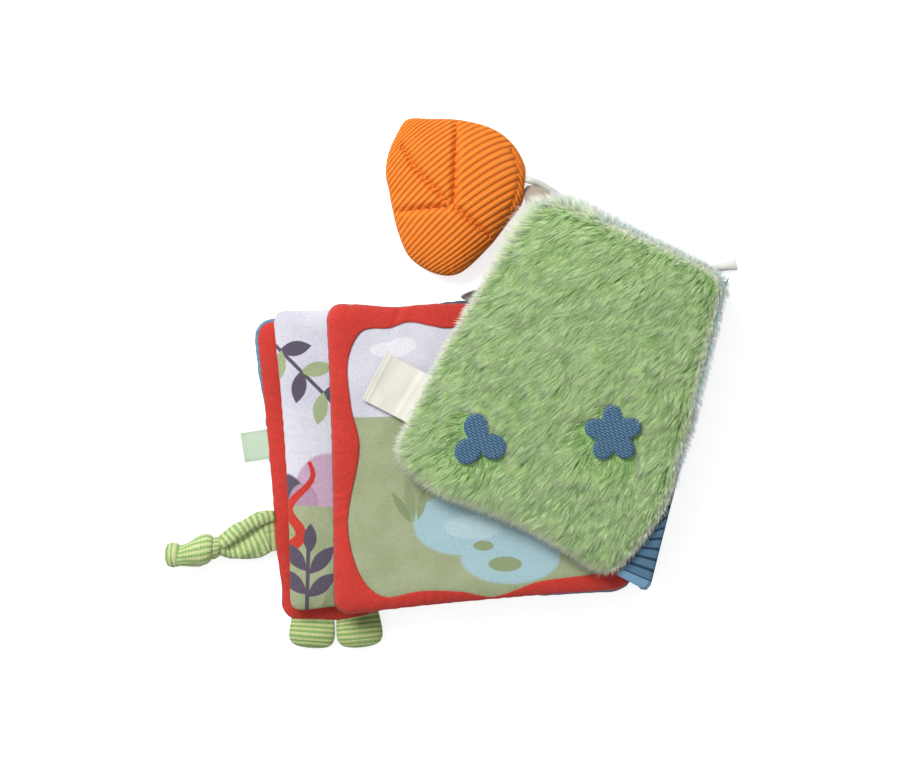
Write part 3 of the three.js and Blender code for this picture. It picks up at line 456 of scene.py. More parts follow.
def outline(corners, radius, bulge, per_side=48, per_corner=12):
    corners = [np.array(c, float) for c in corners]
    n, points, marks = len(corners), [], []
    for k in range(n):
        here, then, after = corners[k], corners[(k + 1) % n], corners[(k + 2) % n]
        side = then - here
        long = np.linalg.norm(side)
        reach = min(radius, long * 0.4)
        end_reach = min(radius, long * 0.4, np.linalg.norm(after - then) * 0.4)
        start, stop = here + side * reach / long, then - side * end_reach / long
        out = np.array([side[1], -side[0]]) / long * bulge[k]
        for i in range(per_side + 1):
            t = i / per_side
            points.append(start + (stop - start) * t + out * 4 * t * (1 - t))
        turn_end = then + (after - then) / np.linalg.norm(after - then) * end_reach
        for i in range(1, per_corner + 1):
            t = i / (per_corner + 1)
            if i == (per_corner + 1) // 2:
                marks.append(len(points))
            a, b = stop + (then - stop) * t, then + (turn_end - then) * t
            points.append(a + (b - a) * t)
    return np.array(points), marks


class Edge:
    """A closed outline, ready to have a square grid laid over it: each side of the square takes one
    stretch."""

    def __init__(self, points, marks, out=0.0, wavy=0.0, seed=1.0):
        points = np.asarray(points, float) + SHIFT
        ahead = np.roll(points, -1, axis=0) - np.roll(points, 1, axis=0)
        normal = np.stack([ahead[:, 1], -ahead[:, 0]], axis=-1)
        normal /= np.linalg.norm(normal, axis=1, keepdims=True)
        run = np.cumsum(np.linalg.norm(points - np.roll(points, 1, axis=0), axis=1))
        self.points = points + normal * (out + wavy * (ripple(run, seed) - 0.5))[:, None]
        ring = np.vstack([self.points, self.points[:1]])
        self.run = np.concatenate([[0], np.cumsum(np.linalg.norm(np.diff(ring, axis=0), axis=1))])
        self.long = self.run[-1]
        self.centre = self.points.mean(0)
        self.marks = [self.run[m] for m in marks]

    def at(self, run):
        run = np.mod(run, self.long)
        ring = np.vstack([self.points, self.points[:1]])
        return np.stack([np.interp(run, self.run, ring[:, k]) for k in (0, 1)], axis=-1)

    def out_at(self, run):
        """The way out of the outline, square to it."""
        ahead = self.at(run + 1.5) - self.at(run - 1.5)
        normal = np.stack([ahead[:, 1], -ahead[:, 0]], axis=-1)
        return normal / np.maximum(np.linalg.norm(normal, axis=1, keepdims=True), 1e-9)

    def lay(self, u, v):
        """Places on the cloth for a square grid, with the distance in from the edge and along it."""
        s = np.maximum(np.abs(u), np.abs(v))
        safe = np.maximum(s, 1e-9)
        side = np.select([v <= -safe + 1e-9, u >= safe - 1e-9, v >= safe - 1e-9], [0, 1, 2], 3)
        share = (np.select([side == 0, side == 1, side == 2], [u / safe, v / safe, -u / safe], -v / safe)
                 * 0.5 + 0.5)
        first = np.array(self.marks)[(side - 1) % 4]
        last = np.array(self.marks)[side]
        last = np.where(last <= first, last + self.long, last)
        run = first + (last - first) * share
        rim, normal = self.at(run), self.out_at(run)
        deep = np.maximum(((rim - self.centre) * normal).sum(1), 1.0)
        place = self.centre + (rim - self.centre) * s[:, None]
        return place, (1 - s) * deep, run, normal


BACK = dict(at=(-101.1, -141.9), wide=210, turn=5.5, tall=178.8, lean=5.5, spine_tall=188.4, spine_lean=5.5)
MIDDLE = dict(at=(-95.7, -136.8), wide=203, turn=4.4, tall=178.8, lean=3.4, spine_tall=176.5,
              spine_lean=4.0)
FRONT = dict(at=(-69.3, -138.6), wide=178, turn=5.2, tall=186.4, lean=1.4, spine_tall=170.4, spine_lean=2.4)
COVER_CUT = [(-31.5, -41.4), (-11.8, -60.1), (97.6, -112.8), (128.4, -75.4), (164.8, 64.8), (58.4, 112.4)]
COVER_BULGE = [0.6, -4.0, 0.8, 1.2, 1.2, 4.6]
CORNER, COVER_CORNER, DRAWN_IN = 11, 13, 2.4


def leaf_corners(leaf):
    low = np.array(leaf["at"], float)
    spine = low + heading(leaf["turn"]) * leaf["wide"]
    top = low + heading(90 + leaf["lean"]) * leaf["tall"]
    return [low, spine, spine + heading(90 + leaf["spine_lean"]) * leaf["spine_tall"], top]


def leaf_edge(leaf, drawn, bend, seed, corner=CORNER):
    points, marks = outline(leaf_corners(leaf), corner, [-drawn, 0, -drawn, -drawn])
    return Edge(points + bend(points), marks, 0, 0.45, seed)


def ripple(run, seed):
    """The puckers of a seam, from 0 to 1 along its run."""
    a = np.sin(2 * np.pi * run / 8.3 + 1.9 * np.sin(2 * np.pi * run / 47 + seed) + seed)
    b = np.sin(2 * np.pi * run / 5.1 + 2.3 * np.sin(2 * np.pi * run / 31 + 2 * seed))
    return 0.5 + 0.33 * a + 0.17 * b


def bump_at(x, at, wide):
    return np.exp(-((x - at) / wide) ** 2)


# Each pinch of the front leaf's upper edge: its place, its width and how far in it reaches.
PINCHES = [(-59.5, 1.5, 8), (-29.5, 1.7, 13)]
PINCH_NOTCH, PINCH_DEEP, PINCH_RISE = 0.6, 1.7, 0.5
UPPER_FROM, LOWER_FROM = 20, -100


def front_bend(points):
    """The upper edge of the front leaf sags a little, rises towards the cover and is pinched twice."""
    x, y = points.T
    pinched = sum(PINCH_NOTCH * bump_at(x, at, wide) for at, wide, _ in PINCHES)
    return np.column_stack([0 * x, (y > UPPER_FROM)
                            * (1.3 * bump_at(x, 6, 24) - 1.4 * bump_at(x, -36, 15) - pinched)])


def middle_bend(points):
    """The middle leaf is cut a little higher at its left end."""
    x, y = points.T
    return np.column_stack([0 * x, (y > UPPER_FROM) * 1.4 * np.clip((-20 - x) / 40, 0, 1)])


# how far the left side of the back cover bows inwards, from its lower end up
BACK_SIDE_AT = [-137, -124, -106, -94, -70, -46, 2, 26]
BACK_SIDE_IN = [0.3, 1.2, -0.4, -1.6, -0.9, -0.8, 0.3, 1.4]


def back_bend(points):
    """The upper edge of the back cover sinks towards the spine, and the lower edge hangs out over the
    feet."""
    x, y = points.T
    side = np.interp(y, BACK_SIDE_AT, BACK_SIDE_IN) * np.clip((-80 - x) / 15, 0, 1)
    sunk = -1.5 * np.clip((x + 45) / 24, 0, 1) - 0.04 * np.clip(x + 21, 0, 40) + 1.1 * bump_at(x, 0, 14)
    return np.column_stack([side, (y > UPPER_FROM) * sunk - (y < LOWER_FROM) * 5.1 * bump_at(x, -62, 23.5)])


def pinch_relief(place, d):
    """How far the cloth is drawn down at the pinches, with a soft rise beside each."""
    top_side = place[:, 1] - SHIFT[1] > UPPER_FROM
    low = np.zeros(len(place))
    for at, wide, reach in PINCHES:
        line = place[:, 0] - SHIFT[0] - at + 0.35 * d
        shape = (PINCH_DEEP * np.exp(-(line / wide) ** 2) - PINCH_RISE
                 * np.exp(-((line - 2.6 * wide) / (2 * wide)) ** 2))
        low += top_side * shape * np.exp(-(d / reach) ** 2)
    return low


back_edge = leaf_edge(BACK, DRAWN_IN, back_bend, 1.3)
back_outer_edge = leaf_edge(BACK, DRAWN_IN, back_bend, 2.9)
middle_edge = leaf_edge(MIDDLE, DRAWN_IN, middle_bend, 3.7, corner=8)
front_edge = leaf_edge(FRONT, DRAWN_IN / 2, front_bend, 5.2)
cover_points, cover_marks = outline(COVER_CUT, COVER_CORNER, COVER_BULGE)
cover_sides = [cover_marks[k] for k in (1, 3, 4, 5)]
cover_edge = Edge(cover_points, cover_sides)
print("edges run", [round(e.long) for e in (back_edge, middle_edge, front_edge, cover_edge)], "mm")


# %% [markdown]
# A skin has an outer face and, one cloth further in, an inner face. Near the seam the inner face
# steps sideways rather than down, so the rolled edge keeps its thickness.

# %% Sewn skins
CLOTH = 1.1


def rise(d, roll):
    """How much of its full height a padded leaf has reached, d in from its seam."""
    return np.sqrt(np.maximum(0, 1 - (1 - np.minimum(1, d / roll)) ** 2.4))


def swell(place, seed, reach=70):
    """Slow hollows and humps of a soft surface, from 0 to 1."""
    rng = np.random.default_rng(int(seed * 10))
    total = 0
    for _ in range(6):
        way, phase = rng.uniform(0, 2 * np.pi), rng.uniform(0, 2 * np.pi)
        long = reach * rng.uniform(0.6, 1.5)
        total = (total + np.sin((place[:, 0] * np.cos(way) + place[:, 1] * np.sin(way)) * 2 * np.pi / long
                                + phase))
    return 0.5 + total / 12


def grid(across, along):
    bm = bmesh.new()
    bmesh.ops.create_grid(bm, x_segments=across, y_segments=along, size=1.0)
    return bm


def finish_piece(name, bm, material, smooth=True):
    mesh = bpy.data.meshes.new(name)
    bmesh.ops.recalc_face_normals(bm, faces=bm.faces[:])
    bm.to_mesh(mesh)
    bm.free()
    if smooth:
        mesh.polygons.foreach_set("use_smooth", [True] * len(mesh.polygons))
    mesh.materials.append(material)
    piece = bpy.data.objects.new(name, mesh)
    bpy.context.scene.collection.objects.link(piece)
    return piece


def map_cloth(piece, along, across):
    """Writes the cloth map: for each point the place along and across, in mm."""
    mesh = piece.data
    layer = mesh.uv_layers.get("cloth") or mesh.uv_layers.new(name="cloth")
    owner = np.zeros(len(mesh.loops), int)
    mesh.loops.foreach_get("vertex_index", owner)
    flat = np.column_stack([along[owner], across[owner]]) * MM
    layer.data.foreach_set("uv", flat.astype(np.float32).ravel())


def read_cloth_map(piece):
    """The cloth map of a piece: one row for each corner of each face."""
    layer = piece.data.uv_layers["cloth"].data
    flat = np.zeros(len(layer) * 2)
    layer.foreach_get("uv", flat)
    return flat.reshape(-1, 2)


def plain_map(place):
    return place[:, 0], place[:, 1]


def second_layer(bm):
    """Extrudes a flat grid in place, which joins a second layer to it all round. Says which points are
    the second's."""
    made = bmesh.ops.extrude_face_region(bm, geom=bm.faces[:], use_keep_orig=True)
    second = {g for g in made["geom"] if isinstance(g, bmesh.types.BMVert)}
    return np.array([v in second for v in bm.verts])


def sewn_skin(name, edge, lift, material, cells=110, cloth=CLOTH, way=1, roll=16, lay=plain_map, stray=None,
              turned_in=False, hem=0):
    """One skin: an outer face lifted by lift(place, d, run), and an inner face one cloth further in,
    joined at the rim. hem is the width of the turned edge, where corduroy has no ribs."""
    bm = grid(cells, cells)
    under = second_layer(bm)
    verts = bm.verts[:]
    u = np.array([v.co.x for v in verts])
    v = np.array([v.co.y for v in verts])
    # rings lie closer together near the seam
    s = np.maximum(np.abs(u), np.abs(v))
    closer = np.where(s > 0, (1 - (1 - s) ** 1.5) / np.maximum(s, 1e-9), 1)
    place, d, run, normal = edge.lay(u * closer, v * closer)
    flange = 0
    if stray is not None:
        moved = stray(place, d, run)
        flange = np.maximum(0, ((moved - place) * normal).sum(1)) if turned_in else 0
        place = moved
    sideways = (1 - np.minimum(1, d / roll)) ** 1.4
    inward = np.where(under, cloth * sideways + flange * sideways ** 6, 0)
    co = np.column_stack([place, lift(place, d, run)])
    co[:, :2] -= normal * inward[:, None]
    co[:, 2] -= np.where(under, way * cloth * np.sqrt(1 - sideways ** 2), 0)
    for vert, p in zip(verts, co):
        vert.co = Vector(p) * MM
    piece = finish_piece(name, bm, material)
    along, across = lay(place)
    map_cloth(piece, along, np.where(d < hem, BLUE_RIB * 0.25, across))
    in_from_edge = piece.data.attributes.new("in_from_edge", "FLOAT", "POINT")
    in_from_edge.data.foreach_set("value", (d * MM).astype(np.float32))
    return piece


LEAF = 9.7
FRONT_LEAF = 10.4
FIT = 0.3
back_seam = LEAF / 2
middle_seam = LEAF + FIT + LEAF / 2
front_seam = 2 * (LEAF + FIT) + FRONT_LEAF / 2
front_high = front_seam + FRONT_LEAF / 2
BORDER_CLOTH = 1.1
COVER_ABOVE, COVER_BELOW = 8.0, 5.0
cover_seam = front_high + FIT + BORDER_CLOTH + FIT + COVER_BELOW
cover_top = cover_seam + COVER_ABOVE
ROLL = 16


def leaf_lift(seam, half, way, seed, pucker=0.55, soft=0.9, roll=ROLL):
    def lift(place, d, run):
        up = 0.15 + (half - 0.15) * rise(d, roll)
        fold = pucker * (ripple(run, seed) - 0.15) * np.exp(-((d - 2.5) / 6.5) ** 2) * np.minimum(1, d / 2)
        low = soft * swell(place, seed) * np.minimum(1, d / 20)
        return seam + way * (up - fold - (low if soft else 0))
    return lift


print("seams at", round(back_seam, 1), round(middle_seam, 1), round(front_seam, 1), round(cover_seam, 1),
      "mm")

# %% [markdown]
# The back cover is blue corduroy outside and red cotton inside. Its underside lies flat on the
# table, so only its rolled edge shows from above.

# %% Back cover
back_lining = sewn_skin("back_cover_red_lining", back_edge,
                        leaf_lift(back_seam, LEAF / 2, 1, 1.3), lining_red)
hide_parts("back_cover_lining")
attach(back_lining, "back_cover")


def turned_map(degrees):
    c, s = math.cos(math.radians(degrees)), math.sin(math.radians(degrees))
    return lambda place: (place[:, 0] * c + place[:, 1] * s, place[:, 1] * c - place[:, 0] * s)


def blue_rim(place, d, run):
    """The outside shows past the lining round the upper left corner and below near the spine, and hides
    elsewhere."""
    x, y = (back_outer_edge.at(run) - SHIFT).T
    corner = np.clip((y + 28) / 34, 0, 1) * np.clip((-78 - x) / 16, 0, 1)
    below = np.exp(-(np.clip(np.abs(x - 82) - 24, 0, None) / 13) ** 2) * (y < -60)
    slivers = 1.5 * (x < -80) * (bump_at(y, -24, 4) + bump_at(y, -46, 4))
    out = -1.2 + 2.9 * corner + 4.0 * below + slivers
    return place + back_outer_edge.out_at(run) * (out * np.clip(1 - d / 12, 0, 1))[:, None]


back_outer = sewn_skin("back_cover_blue_outside", back_outer_edge,
                       leaf_lift(back_seam, LEAF / 2, -1, 2.1, soft=0), blue_corduroy, way=-1,
                       lay=turned_map(-13.3),
                       stray=blue_rim, turned_in=True, hem=4)
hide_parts("back_cover_outer")
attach(back_outer, "back_cover")
print("back cover made")

# %% [markdown]
# The two printed leaves are made the same way. The middle one has the crinkle film inside.

# %% Printed leaves
for name, node, edge, seam, half, way, seed, finish, body in (
        ("middle_leaf_print", "middle_page_face", middle_edge, middle_seam, LEAF / 2, 1, 3.7, middle_print,
         "middle_page"),
        ("middle_leaf_back_print", "middle_page_reverse", middle_edge, middle_seam, LEAF / 2, -1, 4.4,
         middle_print, "middle_page"),
        ("front_leaf_print", "front_page_face", front_edge, front_seam, FRONT_LEAF / 2, 1, 5.2, front_print,
         "front_page"),
        ("front_leaf_back_print", "front_page_reverse", front_edge, front_seam, FRONT_LEAF / 2, -1, 6.1,
         front_print, "front_page")):
    lifted = leaf_lift(seam, half, way, seed)
    if name == "front_leaf_print":
        made = sewn_skin(name, edge, lambda place, d, run: lifted(place, d, run) - pinch_relief(place, d),
                         finish)
    else:
        made = sewn_skin(name, edge, lifted, finish, way=way)
    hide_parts(node)
    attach(made, body)
print("printed leaves made")

# %% [markdown]
# The picture on the front leaf has a wavy red border, sewn over it and turned round the seam. Its
# inner line is a closed curve through a few points. Each place of the border is found by its
# direction from the middle of the leaf, so the ring follows both lines without a fold.

# %% Border of the front leaf
BORDER_LINE = [
    (-53.3, 30.6), (-60.9, 14.7), (-59.2, -13.8), (-54.3, -37.2), (-61.3, -84.6), (-55.1, -111.6),
    (-47.3, -123.0),
    (-38.4, -127.7), (-17.3, -124.2), (6.3, -124.6), (26.1, -127.6), (52.9, -118.6), (69.8, -116.1),
    (88, -113.5),
    (99, -108), (102.5, -92), (97, -70), (101, -45), (96, -20), (99, 4), (92, 22), (78, 31), (60, 38),
    (40, 34.5),
    (20, 38), (-1.1, 33.1), (-12.3, 34.8), (-24.9, 36.8), (-37.5, 33.0), (-46, 33.0)]
BORDER_CLOTH_SHOWN = 0.9


def curve_point(points, times, t):
    """A point of the centripetal Catmull-Rom curve that runs between the middle two of four points."""
    (p0, p1, p2, p3), (t1, t2, t3) = points, times
    a1 = p0 + (p1 - p0) * (t / t1)
    a2 = p1 + (p2 - p1) * ((t - t1) / (t2 - t1))
    a3 = p2 + (p3 - p2) * ((t - t2) / (t3 - t2))
    b1 = a1 + (a2 - a1) * (t / t2)
    b2 = a2 + (a3 - a2) * ((t - t1) / (t3 - t1))
    return b1 + (b2 - b1) * ((t - t1) / (t2 - t1))


def closed_curve(points, steps):
    """A smooth closed line through points, with even steps."""
    points = np.array(points, float)
    n, line = len(points), []
    for k in range(n):
        p0, p1, p2, p3 = (points[(k + j) % n] for j in (-1, 0, 1, 2))
        t1 = np.linalg.norm(p1 - p0) ** 0.5
        t2 = t1 + np.linalg.norm(p2 - p1) ** 0.5
        t3 = t2 + np.linalg.norm(p3 - p2) ** 0.5
        for t in np.linspace(t1, t2, 24, endpoint=False):
            line.append(curve_point((p0, p1, p2, p3), (t1, t2, t3), t))
    line = np.array(line)
    ring = np.vstack([line, line[:1]])
    run = np.concatenate([[0], np.cumsum(np.linalg.norm(np.diff(ring, axis=0), axis=1))])
    at = np.linspace(0, run[-1], steps, endpoint=False)
    return np.stack([np.interp(at, run, ring[:, j]) for j in (0, 1)], axis=-1)


def polar_reach(line, centre, angles):
    """How far the closed line lies from the centre in each direction."""
    off = line - centre
    turn = np.unwrap(np.arctan2(off[:, 1], off[:, 0]))
    far = np.linalg.norm(off, axis=1)
    order = np.argsort(np.mod(turn, 2 * np.pi))
    return np.interp(np.mod(angles, 2 * np.pi), np.mod(turn, 2 * np.pi)[order], far[order],
                     period=2 * np.pi)


def cloth(name, nx, ny, place, thick, material, size=(1, 1), ribs=None):
    """A piece of cloth: a grid laid on place(u, v), given its thickness along the surface's own
    normals. u and v run from 0 to 1. Edges that meet are sewn together. The flat cloth's size in
    mm goes into its UV map."""
    bm = grid(nx, ny)
    layer = bm.loops.layers.uv.new("cloth")
    for face in bm.faces:
        for loop in face.loops:
            loop[layer].uv = ((loop.vert.co.x + 1) / 2 * size[0] * MM,
                              (loop.vert.co.y + 1) / 2 * size[1] * MM)
    under = second_layer(bm) if thick else None
    u = np.array([v.co.x for v in bm.verts]) / 2 + 0.5
    v = np.array([v.co.y for v in bm.verts]) / 2 + 0.5
    co = place(u, v)
    if thick:
        step = 1e-3
        du = place(np.clip(u + step, 0, 1), v) - place(np.clip(u - step, 0, 1), v)
        dv = place(u, np.clip(v + step, 0, 1)) - place(u, np.clip(v - step, 0, 1))
        normal = np.cross(du, dv)
        normal /= np.maximum(np.linalg.norm(normal, axis=1, keepdims=True), 1e-12)
        off_middle = np.where(under, -thick / 2, thick / 2)
        if ribs is not None:
            off_middle = off_middle - np.where(under, 0, ribs(u, v))
        co = co + normal * off_middle[:, None]
    for vert, p in zip(bm.verts, co):
        vert.co = Vector(p) * MM
    bmesh.ops.remove_doubles(bm, verts=bm.verts[:], dist=1e-6)
    return finish_piece(name, bm, material)


front_centre = front_edge.centre
border_line = closed_curve(BORDER_LINE, 720) + SHIFT
front_rim = front_edge.at(np.linspace(0, front_edge.long, 1440, endpoint=False))


def border_place(u, v):
    """u runs round the leaf, v across the border: out from its wavy line and down over the rolled edge."""
    angles = u * 2 * np.pi
    far = polar_reach(front_rim, front_centre, angles)
    near = polar_reach(border_line, front_centre, angles)
    reach = near + (far - near) * v
    way = np.stack([np.cos(angles), np.sin(angles)], axis=-1)
    place = front_centre + way * reach[:, None]
    d = far - reach
    run = u * front_edge.long
    up = 0.15 + (FRONT_LEAF / 2 - 0.15) * rise(d, ROLL)
    pull = 0.5 * (ripple(run, 5.2) - 0.1) * np.exp(-((d - 2.5) / 6.5) ** 2) * np.minimum(1, d / 2)
    inner = 0.28 * (1 - np.minimum(1, (reach - near) / 1.6))
    low = 0.9 * swell(place, 5.2) * np.minimum(1, d / 20) + pinch_relief(place, d)
    high = front_seam + up - pull - low + BORDER_CLOTH_SHOWN * 0.62 * np.minimum(1, (d + 0.4) / 3) - inner
    return np.column_stack([place, high])


border = cloth("front_leaf_red_border", 520, 16, border_place, BORDER_CLOTH_SHOWN * 0.7, red_cotton,
               (560, 24))
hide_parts("front_page_border")
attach(border, "front_page")
print("border", round(border.dimensions.x / MM), "by", round(border.dimensions.y / MM), "mm")

# %% [markdown]
# The spine is ribbed corduroy. Each leaf has a flat flap that runs to the fold, and the cloth
# between two flaps stands out in a roll, which is the slack that lets a leaf turn. The ribs run
# across the fold. They are pressed into the upper face of the cloth as real relief.

# %% Spine
SPINE_LONG, SPINE_HOLD, SPINE_CLOTH, FLAP_CLOTH, HEM, SPINE_ROUND = 189, 8.5, 1.8, 2.6, 5.0, 4.5
# length of a flap's cloth, girth of a hidden roll and of the top roll, depth of the hidden ribs
FLAP_LONG, ROLL_GIRTH, TOP_GIRTH, HIDDEN_RIB = 180, 22, 34, 0.7
roll_start = SPINE_HOLD - FIT - SPINE_CLOTH / 2


def on_fold(s, out):
    foot = FOLD_FOOT + SHIFT
    return foot + np.multiply.outer(s, fold_way) + np.multiply.outer(out, fold_out)


def rib_relief(run, deep=0.8, rib=BLUE_RIB):
    """How far the face lies below the crests: broad round ribs with narrow valleys."""
    wave = np.abs(np.sin(np.pi * run / rib + np.pi / 4))
    return deep * (1 - wave ** 0.35)


def strip_relief(run):
    """The ribs of the strip that shows, with a flat hem at its lower end, quilted once."""
    hem = 0.25 + 0.9 * np.exp(-((run - HEM * 0.5) / 0.5) ** 2) + 0.8 * np.exp(-((run - HEM) / 0.6) ** 2)
    return np.where(run < HEM, hem, rib_relief(run, 1.35))


def blend_rows(a, b, t):
    return a + (b - a) * t[:, None]


def flap(leaf, seam):
    corners = leaf_corners(leaf)
    keep = CORNER * 0.6 / leaf["spine_tall"]

    def place(u, v):
        near = (blend_rows(corners[1], corners[2], keep + (1 - 2 * keep) * v) + np.array([FIT * 1.2, 0])
                + SHIFT)
        far = on_fold(SPINE_LONG * (0.02 + 0.955 * v), np.full(len(v), -SPINE_HOLD))
        flat = near + (far - near) * u[:, None]
        return np.column_stack([flat, np.full(len(u), seam) + 0.35 * np.sin(v * 21 + u * 3) * u * (1 - u)
                                * 4])
    return place


for name, node, leaf, seam, body in (
        ("back_flap_corduroy", "back_spine_flap", BACK, back_seam, "back_cover"),
        ("middle_flap_corduroy", "middle_spine_flap", MIDDLE, middle_seam, "middle_page"),
        ("front_flap_corduroy", "front_spine_flap", FRONT, front_seam, "front_page")):
    made = cloth(name, 10, 190, flap(leaf, seam), FLAP_CLOTH, spine_corduroy_shaded,
                 (ROLL_GIRTH, FLAP_LONG), ribs=lambda u, v: rib_relief(v * FLAP_LONG, HIDDEN_RIB))
    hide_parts(node)
    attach(made, body)


def bulge(v):
    """A roll of the spine stands out more towards its upper end, and its lower corner is rounded."""
    cut = 1 - np.clip(v * SPINE_LONG / SPINE_ROUND, 0, 1)
    return 0.7 + 3.2 * v - SPINE_ROUND * (1 - np.sqrt(1 - cut * cut))


def roll_place(low, high):
    def place(u, v):
        out = -roll_start + bulge(v) * np.sin(np.pi * np.clip(u, 0, 1)) ** 0.8
        flat = on_fold(SPINE_LONG * v, out)
        return np.column_stack([flat, low + (high - low) * u])
    return place


end_gap = SPINE_CLOTH / 2 + FIT / 2
for name, node, low, high, one, two in (
        ("low_roll_corduroy", "spine_roll_low", back_seam, middle_seam, "back_cover", "middle_page"),
        ("middle_roll_corduroy", "spine_roll_middle", middle_seam, front_seam, "middle_page",
         "front_page")):
    made = cloth(name, 26, 190, roll_place(low + end_gap, high - end_gap), SPINE_CLOTH, spine_corduroy_shaded,
                 (ROLL_GIRTH, SPINE_LONG), ribs=lambda u, v: rib_relief(v * SPINE_LONG, HIDDEN_RIB))
    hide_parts(node)
    middle_of_fold = on_fold(np.array([SPINE_LONG / 2]), np.array([-roll_start]))[0]
    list(middle_of_fold * MM)
    (low + 1) * MM
    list(middle_of_fold * MM)
    (high - 1) * MM
    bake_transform(made)
print("flaps and rolls made")

# %% [markdown]
# The last roll is the one that shows. It comes up round the fold and is sewn under the edge of
# the plush cover. Past the cover's lower edge it ends in a paler turned hem.

# %% Top of the spine
STRIP_OFF = 2
strip_top = cover_seam - COVER_BELOW * 0.1


def away_from(a, b):
    side = np.array(b) - np.array(a)
    return np.array([side[1], -side[0]]) / np.linalg.norm(side)


hem_out = away_from(COVER_CUT[2], COVER_CUT[3])
side_out = away_from(COVER_CUT[3], COVER_CUT[4])
mitre = (hem_out + side_out) * 2 / ((hem_out + side_out) @ (hem_out + side_out))
fur_side = np.array([np.array(COVER_CUT[2]) + hem_out * STRIP_OFF,
                     np.array(COVER_CUT[3]) + mitre * STRIP_OFF,
                     np.array(COVER_CUT[4]) + side_out * STRIP_OFF]) + SHIFT


def strip_place(u, v):
    low = front_seam + end_gap
    s = SPINE_LONG * v
    a = np.clip(u / 0.6, 0, 1)
    out = -roll_start + bulge(v) * np.sin(np.pi * 0.62 * a) ** 0.8
    high = low + (strip_top - low) * a ** 0.9
    last = on_fold(s, -roll_start + bulge(v) * math.sin(math.pi * 0.62) ** 0.8)
    target = np.stack([np.interp(v, [0, 0.3, 1], fur_side[:, k]) for k in (0, 1)], axis=-1)
    b = np.clip((u - 0.6) / 0.4, 0, 1)
    flat = np.where((u <= 0.6)[:, None], on_fold(s, out), last + (target - last) * b[:, None])
    return np.column_stack([flat, high])


high_roll = cloth("top_roll_corduroy", 44, 420, strip_place, SPINE_CLOTH, spine_corduroy_shaded,
                  (TOP_GIRTH, SPINE_LONG), ribs=lambda u, v: strip_relief(v * SPINE_LONG))
strip_map = read_cloth_map(high_roll)
strip_map[:, 1] = np.where(strip_map[:, 1] < HEM * MM, -BLUE_RIB * 0.75 * MM, strip_map[:, 1])
high_roll.data.uv_layers["cloth"].data.foreach_set("uv", strip_map.ravel())
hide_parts("spine_roll_high")
roll_middle = on_fold(np.array([SPINE_LONG / 2]), np.array([-roll_start]))[0]
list(roll_middle * MM)
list(roll_middle * MM)
(strip_top - 1.5) * MM
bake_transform(high_roll)
print("top roll", round(high_roll.dimensions.y / MM), "mm long")

# %% [markdown]
# The cord is a soft satin cord of 5 mm. It leaves the toy at the side seam, lies on the table
# under the plush cover, goes through a loop at the top of the spine and ends in a flared, cut
# end. The photograph shows both ends and the line between them, so that is its whole length.
# A tube follows the same points as the CAD solid, made smooth between them.

# %% Satin cord
CORD_THICK = 5
TWIST, GIRTH = 0.0021, 0.0157  # from one strand to the next, and round the cord, in metres
satin = Finish("grey satin cord", 0.42, 0.2)
along_cord, round_cord, _ = satin.xyz(satin.uv())
twist = (along_cord * (2 * math.pi / TWIST) + round_cord * (2 * math.pi / GIRTH) * 2).sin() * 0.5 + 0.5
satin.colour(satin.mix(twist * 0.12 + satin.noise(300, 2) * 0.2, srgb("DADCD4"), srgb("A9ACA4")))
satin.bump(twist, 0.15, 0.2)

TOY_CUT = [
    (-26.1, 158.7), (-11.7, 159.3), (7.3, 158.4), (27.2, 152.6), (38.7, 143.0), (45.2, 130.0),
    (44.9, 119.4),
    (43.3, 107.8), (34.9, 96.4), (22.5, 81.0), (4.2, 65.7), (-8.8, 66.1), (-24.1, 75.7), (-31.0, 90.2),
    (-35.1, 106.8), (-36.8, 116.2), (-38.7, 125.4), (-37.2, 138.0), (-31.7, 150.7)]
TOY_BELOW, TOY_ABOVE = 10.5, 14.5
toy_line = closed_curve(TOY_CUT, 640)
cord_r = CORD_THICK / 2
pivot = np.array([toy_line[:, 0].max() + cord_r + FIT, 121.2])
back_corners = leaf_corners(BACK)
flap_top = [back_corners[2] + np.array([FIT, -CORNER * 0.6]),
            on_fold(np.array([SPINE_LONG * 0.975]), np.array([-SPINE_HOLD]))[0] - SHIFT]
loop_way = (flap_top[1] - flap_top[0]) / np.linalg.norm(flap_top[1] - flap_top[0])
LOOP_WALL, LOOP_WIDE = 1.1, 8
loop_out = cord_r + FIT + LOOP_WALL
loop_at = (flap_top[0] + (flap_top[1] - flap_top[0]) * 0.78 + np.array([-loop_way[1], loop_way[0]])
           * (loop_out + 2 * FIT))
loop_high = max(loop_out + FIT, back_seam)
cord_low = cord_r + 0.15
CORD_ROUTE = [(53.4, 120.4), (59.6, 116.8), (67.6, 111.2), (80.3, 101.4), (93.5, 90.6), (108.1, 79.8),
              (122.3, 71.2)]
CORD_TAIL = [(159.3, 69.2), (166.5, 70.5), (172.8, 71.7)]
SEAM_TUCK = 5.0
CORD_START = [(-SEAM_TUCK, 1.8), (-SEAM_TUCK * 0.5, 1.5), (0, 1.0)]
route = [(pivot[0] + x, pivot[1] + y, TOY_BELOW) for x, y in CORD_START]
for k, p in enumerate(CORD_ROUTE):
    route.append((*p, TOY_BELOW + (cord_low - TOY_BELOW) * min(1, (k + 1) / 3)))
for k in (-1, 0, 1):
    route.append((*(loop_at + loop_way * k * LOOP_WIDE), loop_high))
route += [(*p, cord_low) for p in CORD_TAIL]
route = np.array(route) + np.array([*SHIFT, 0])


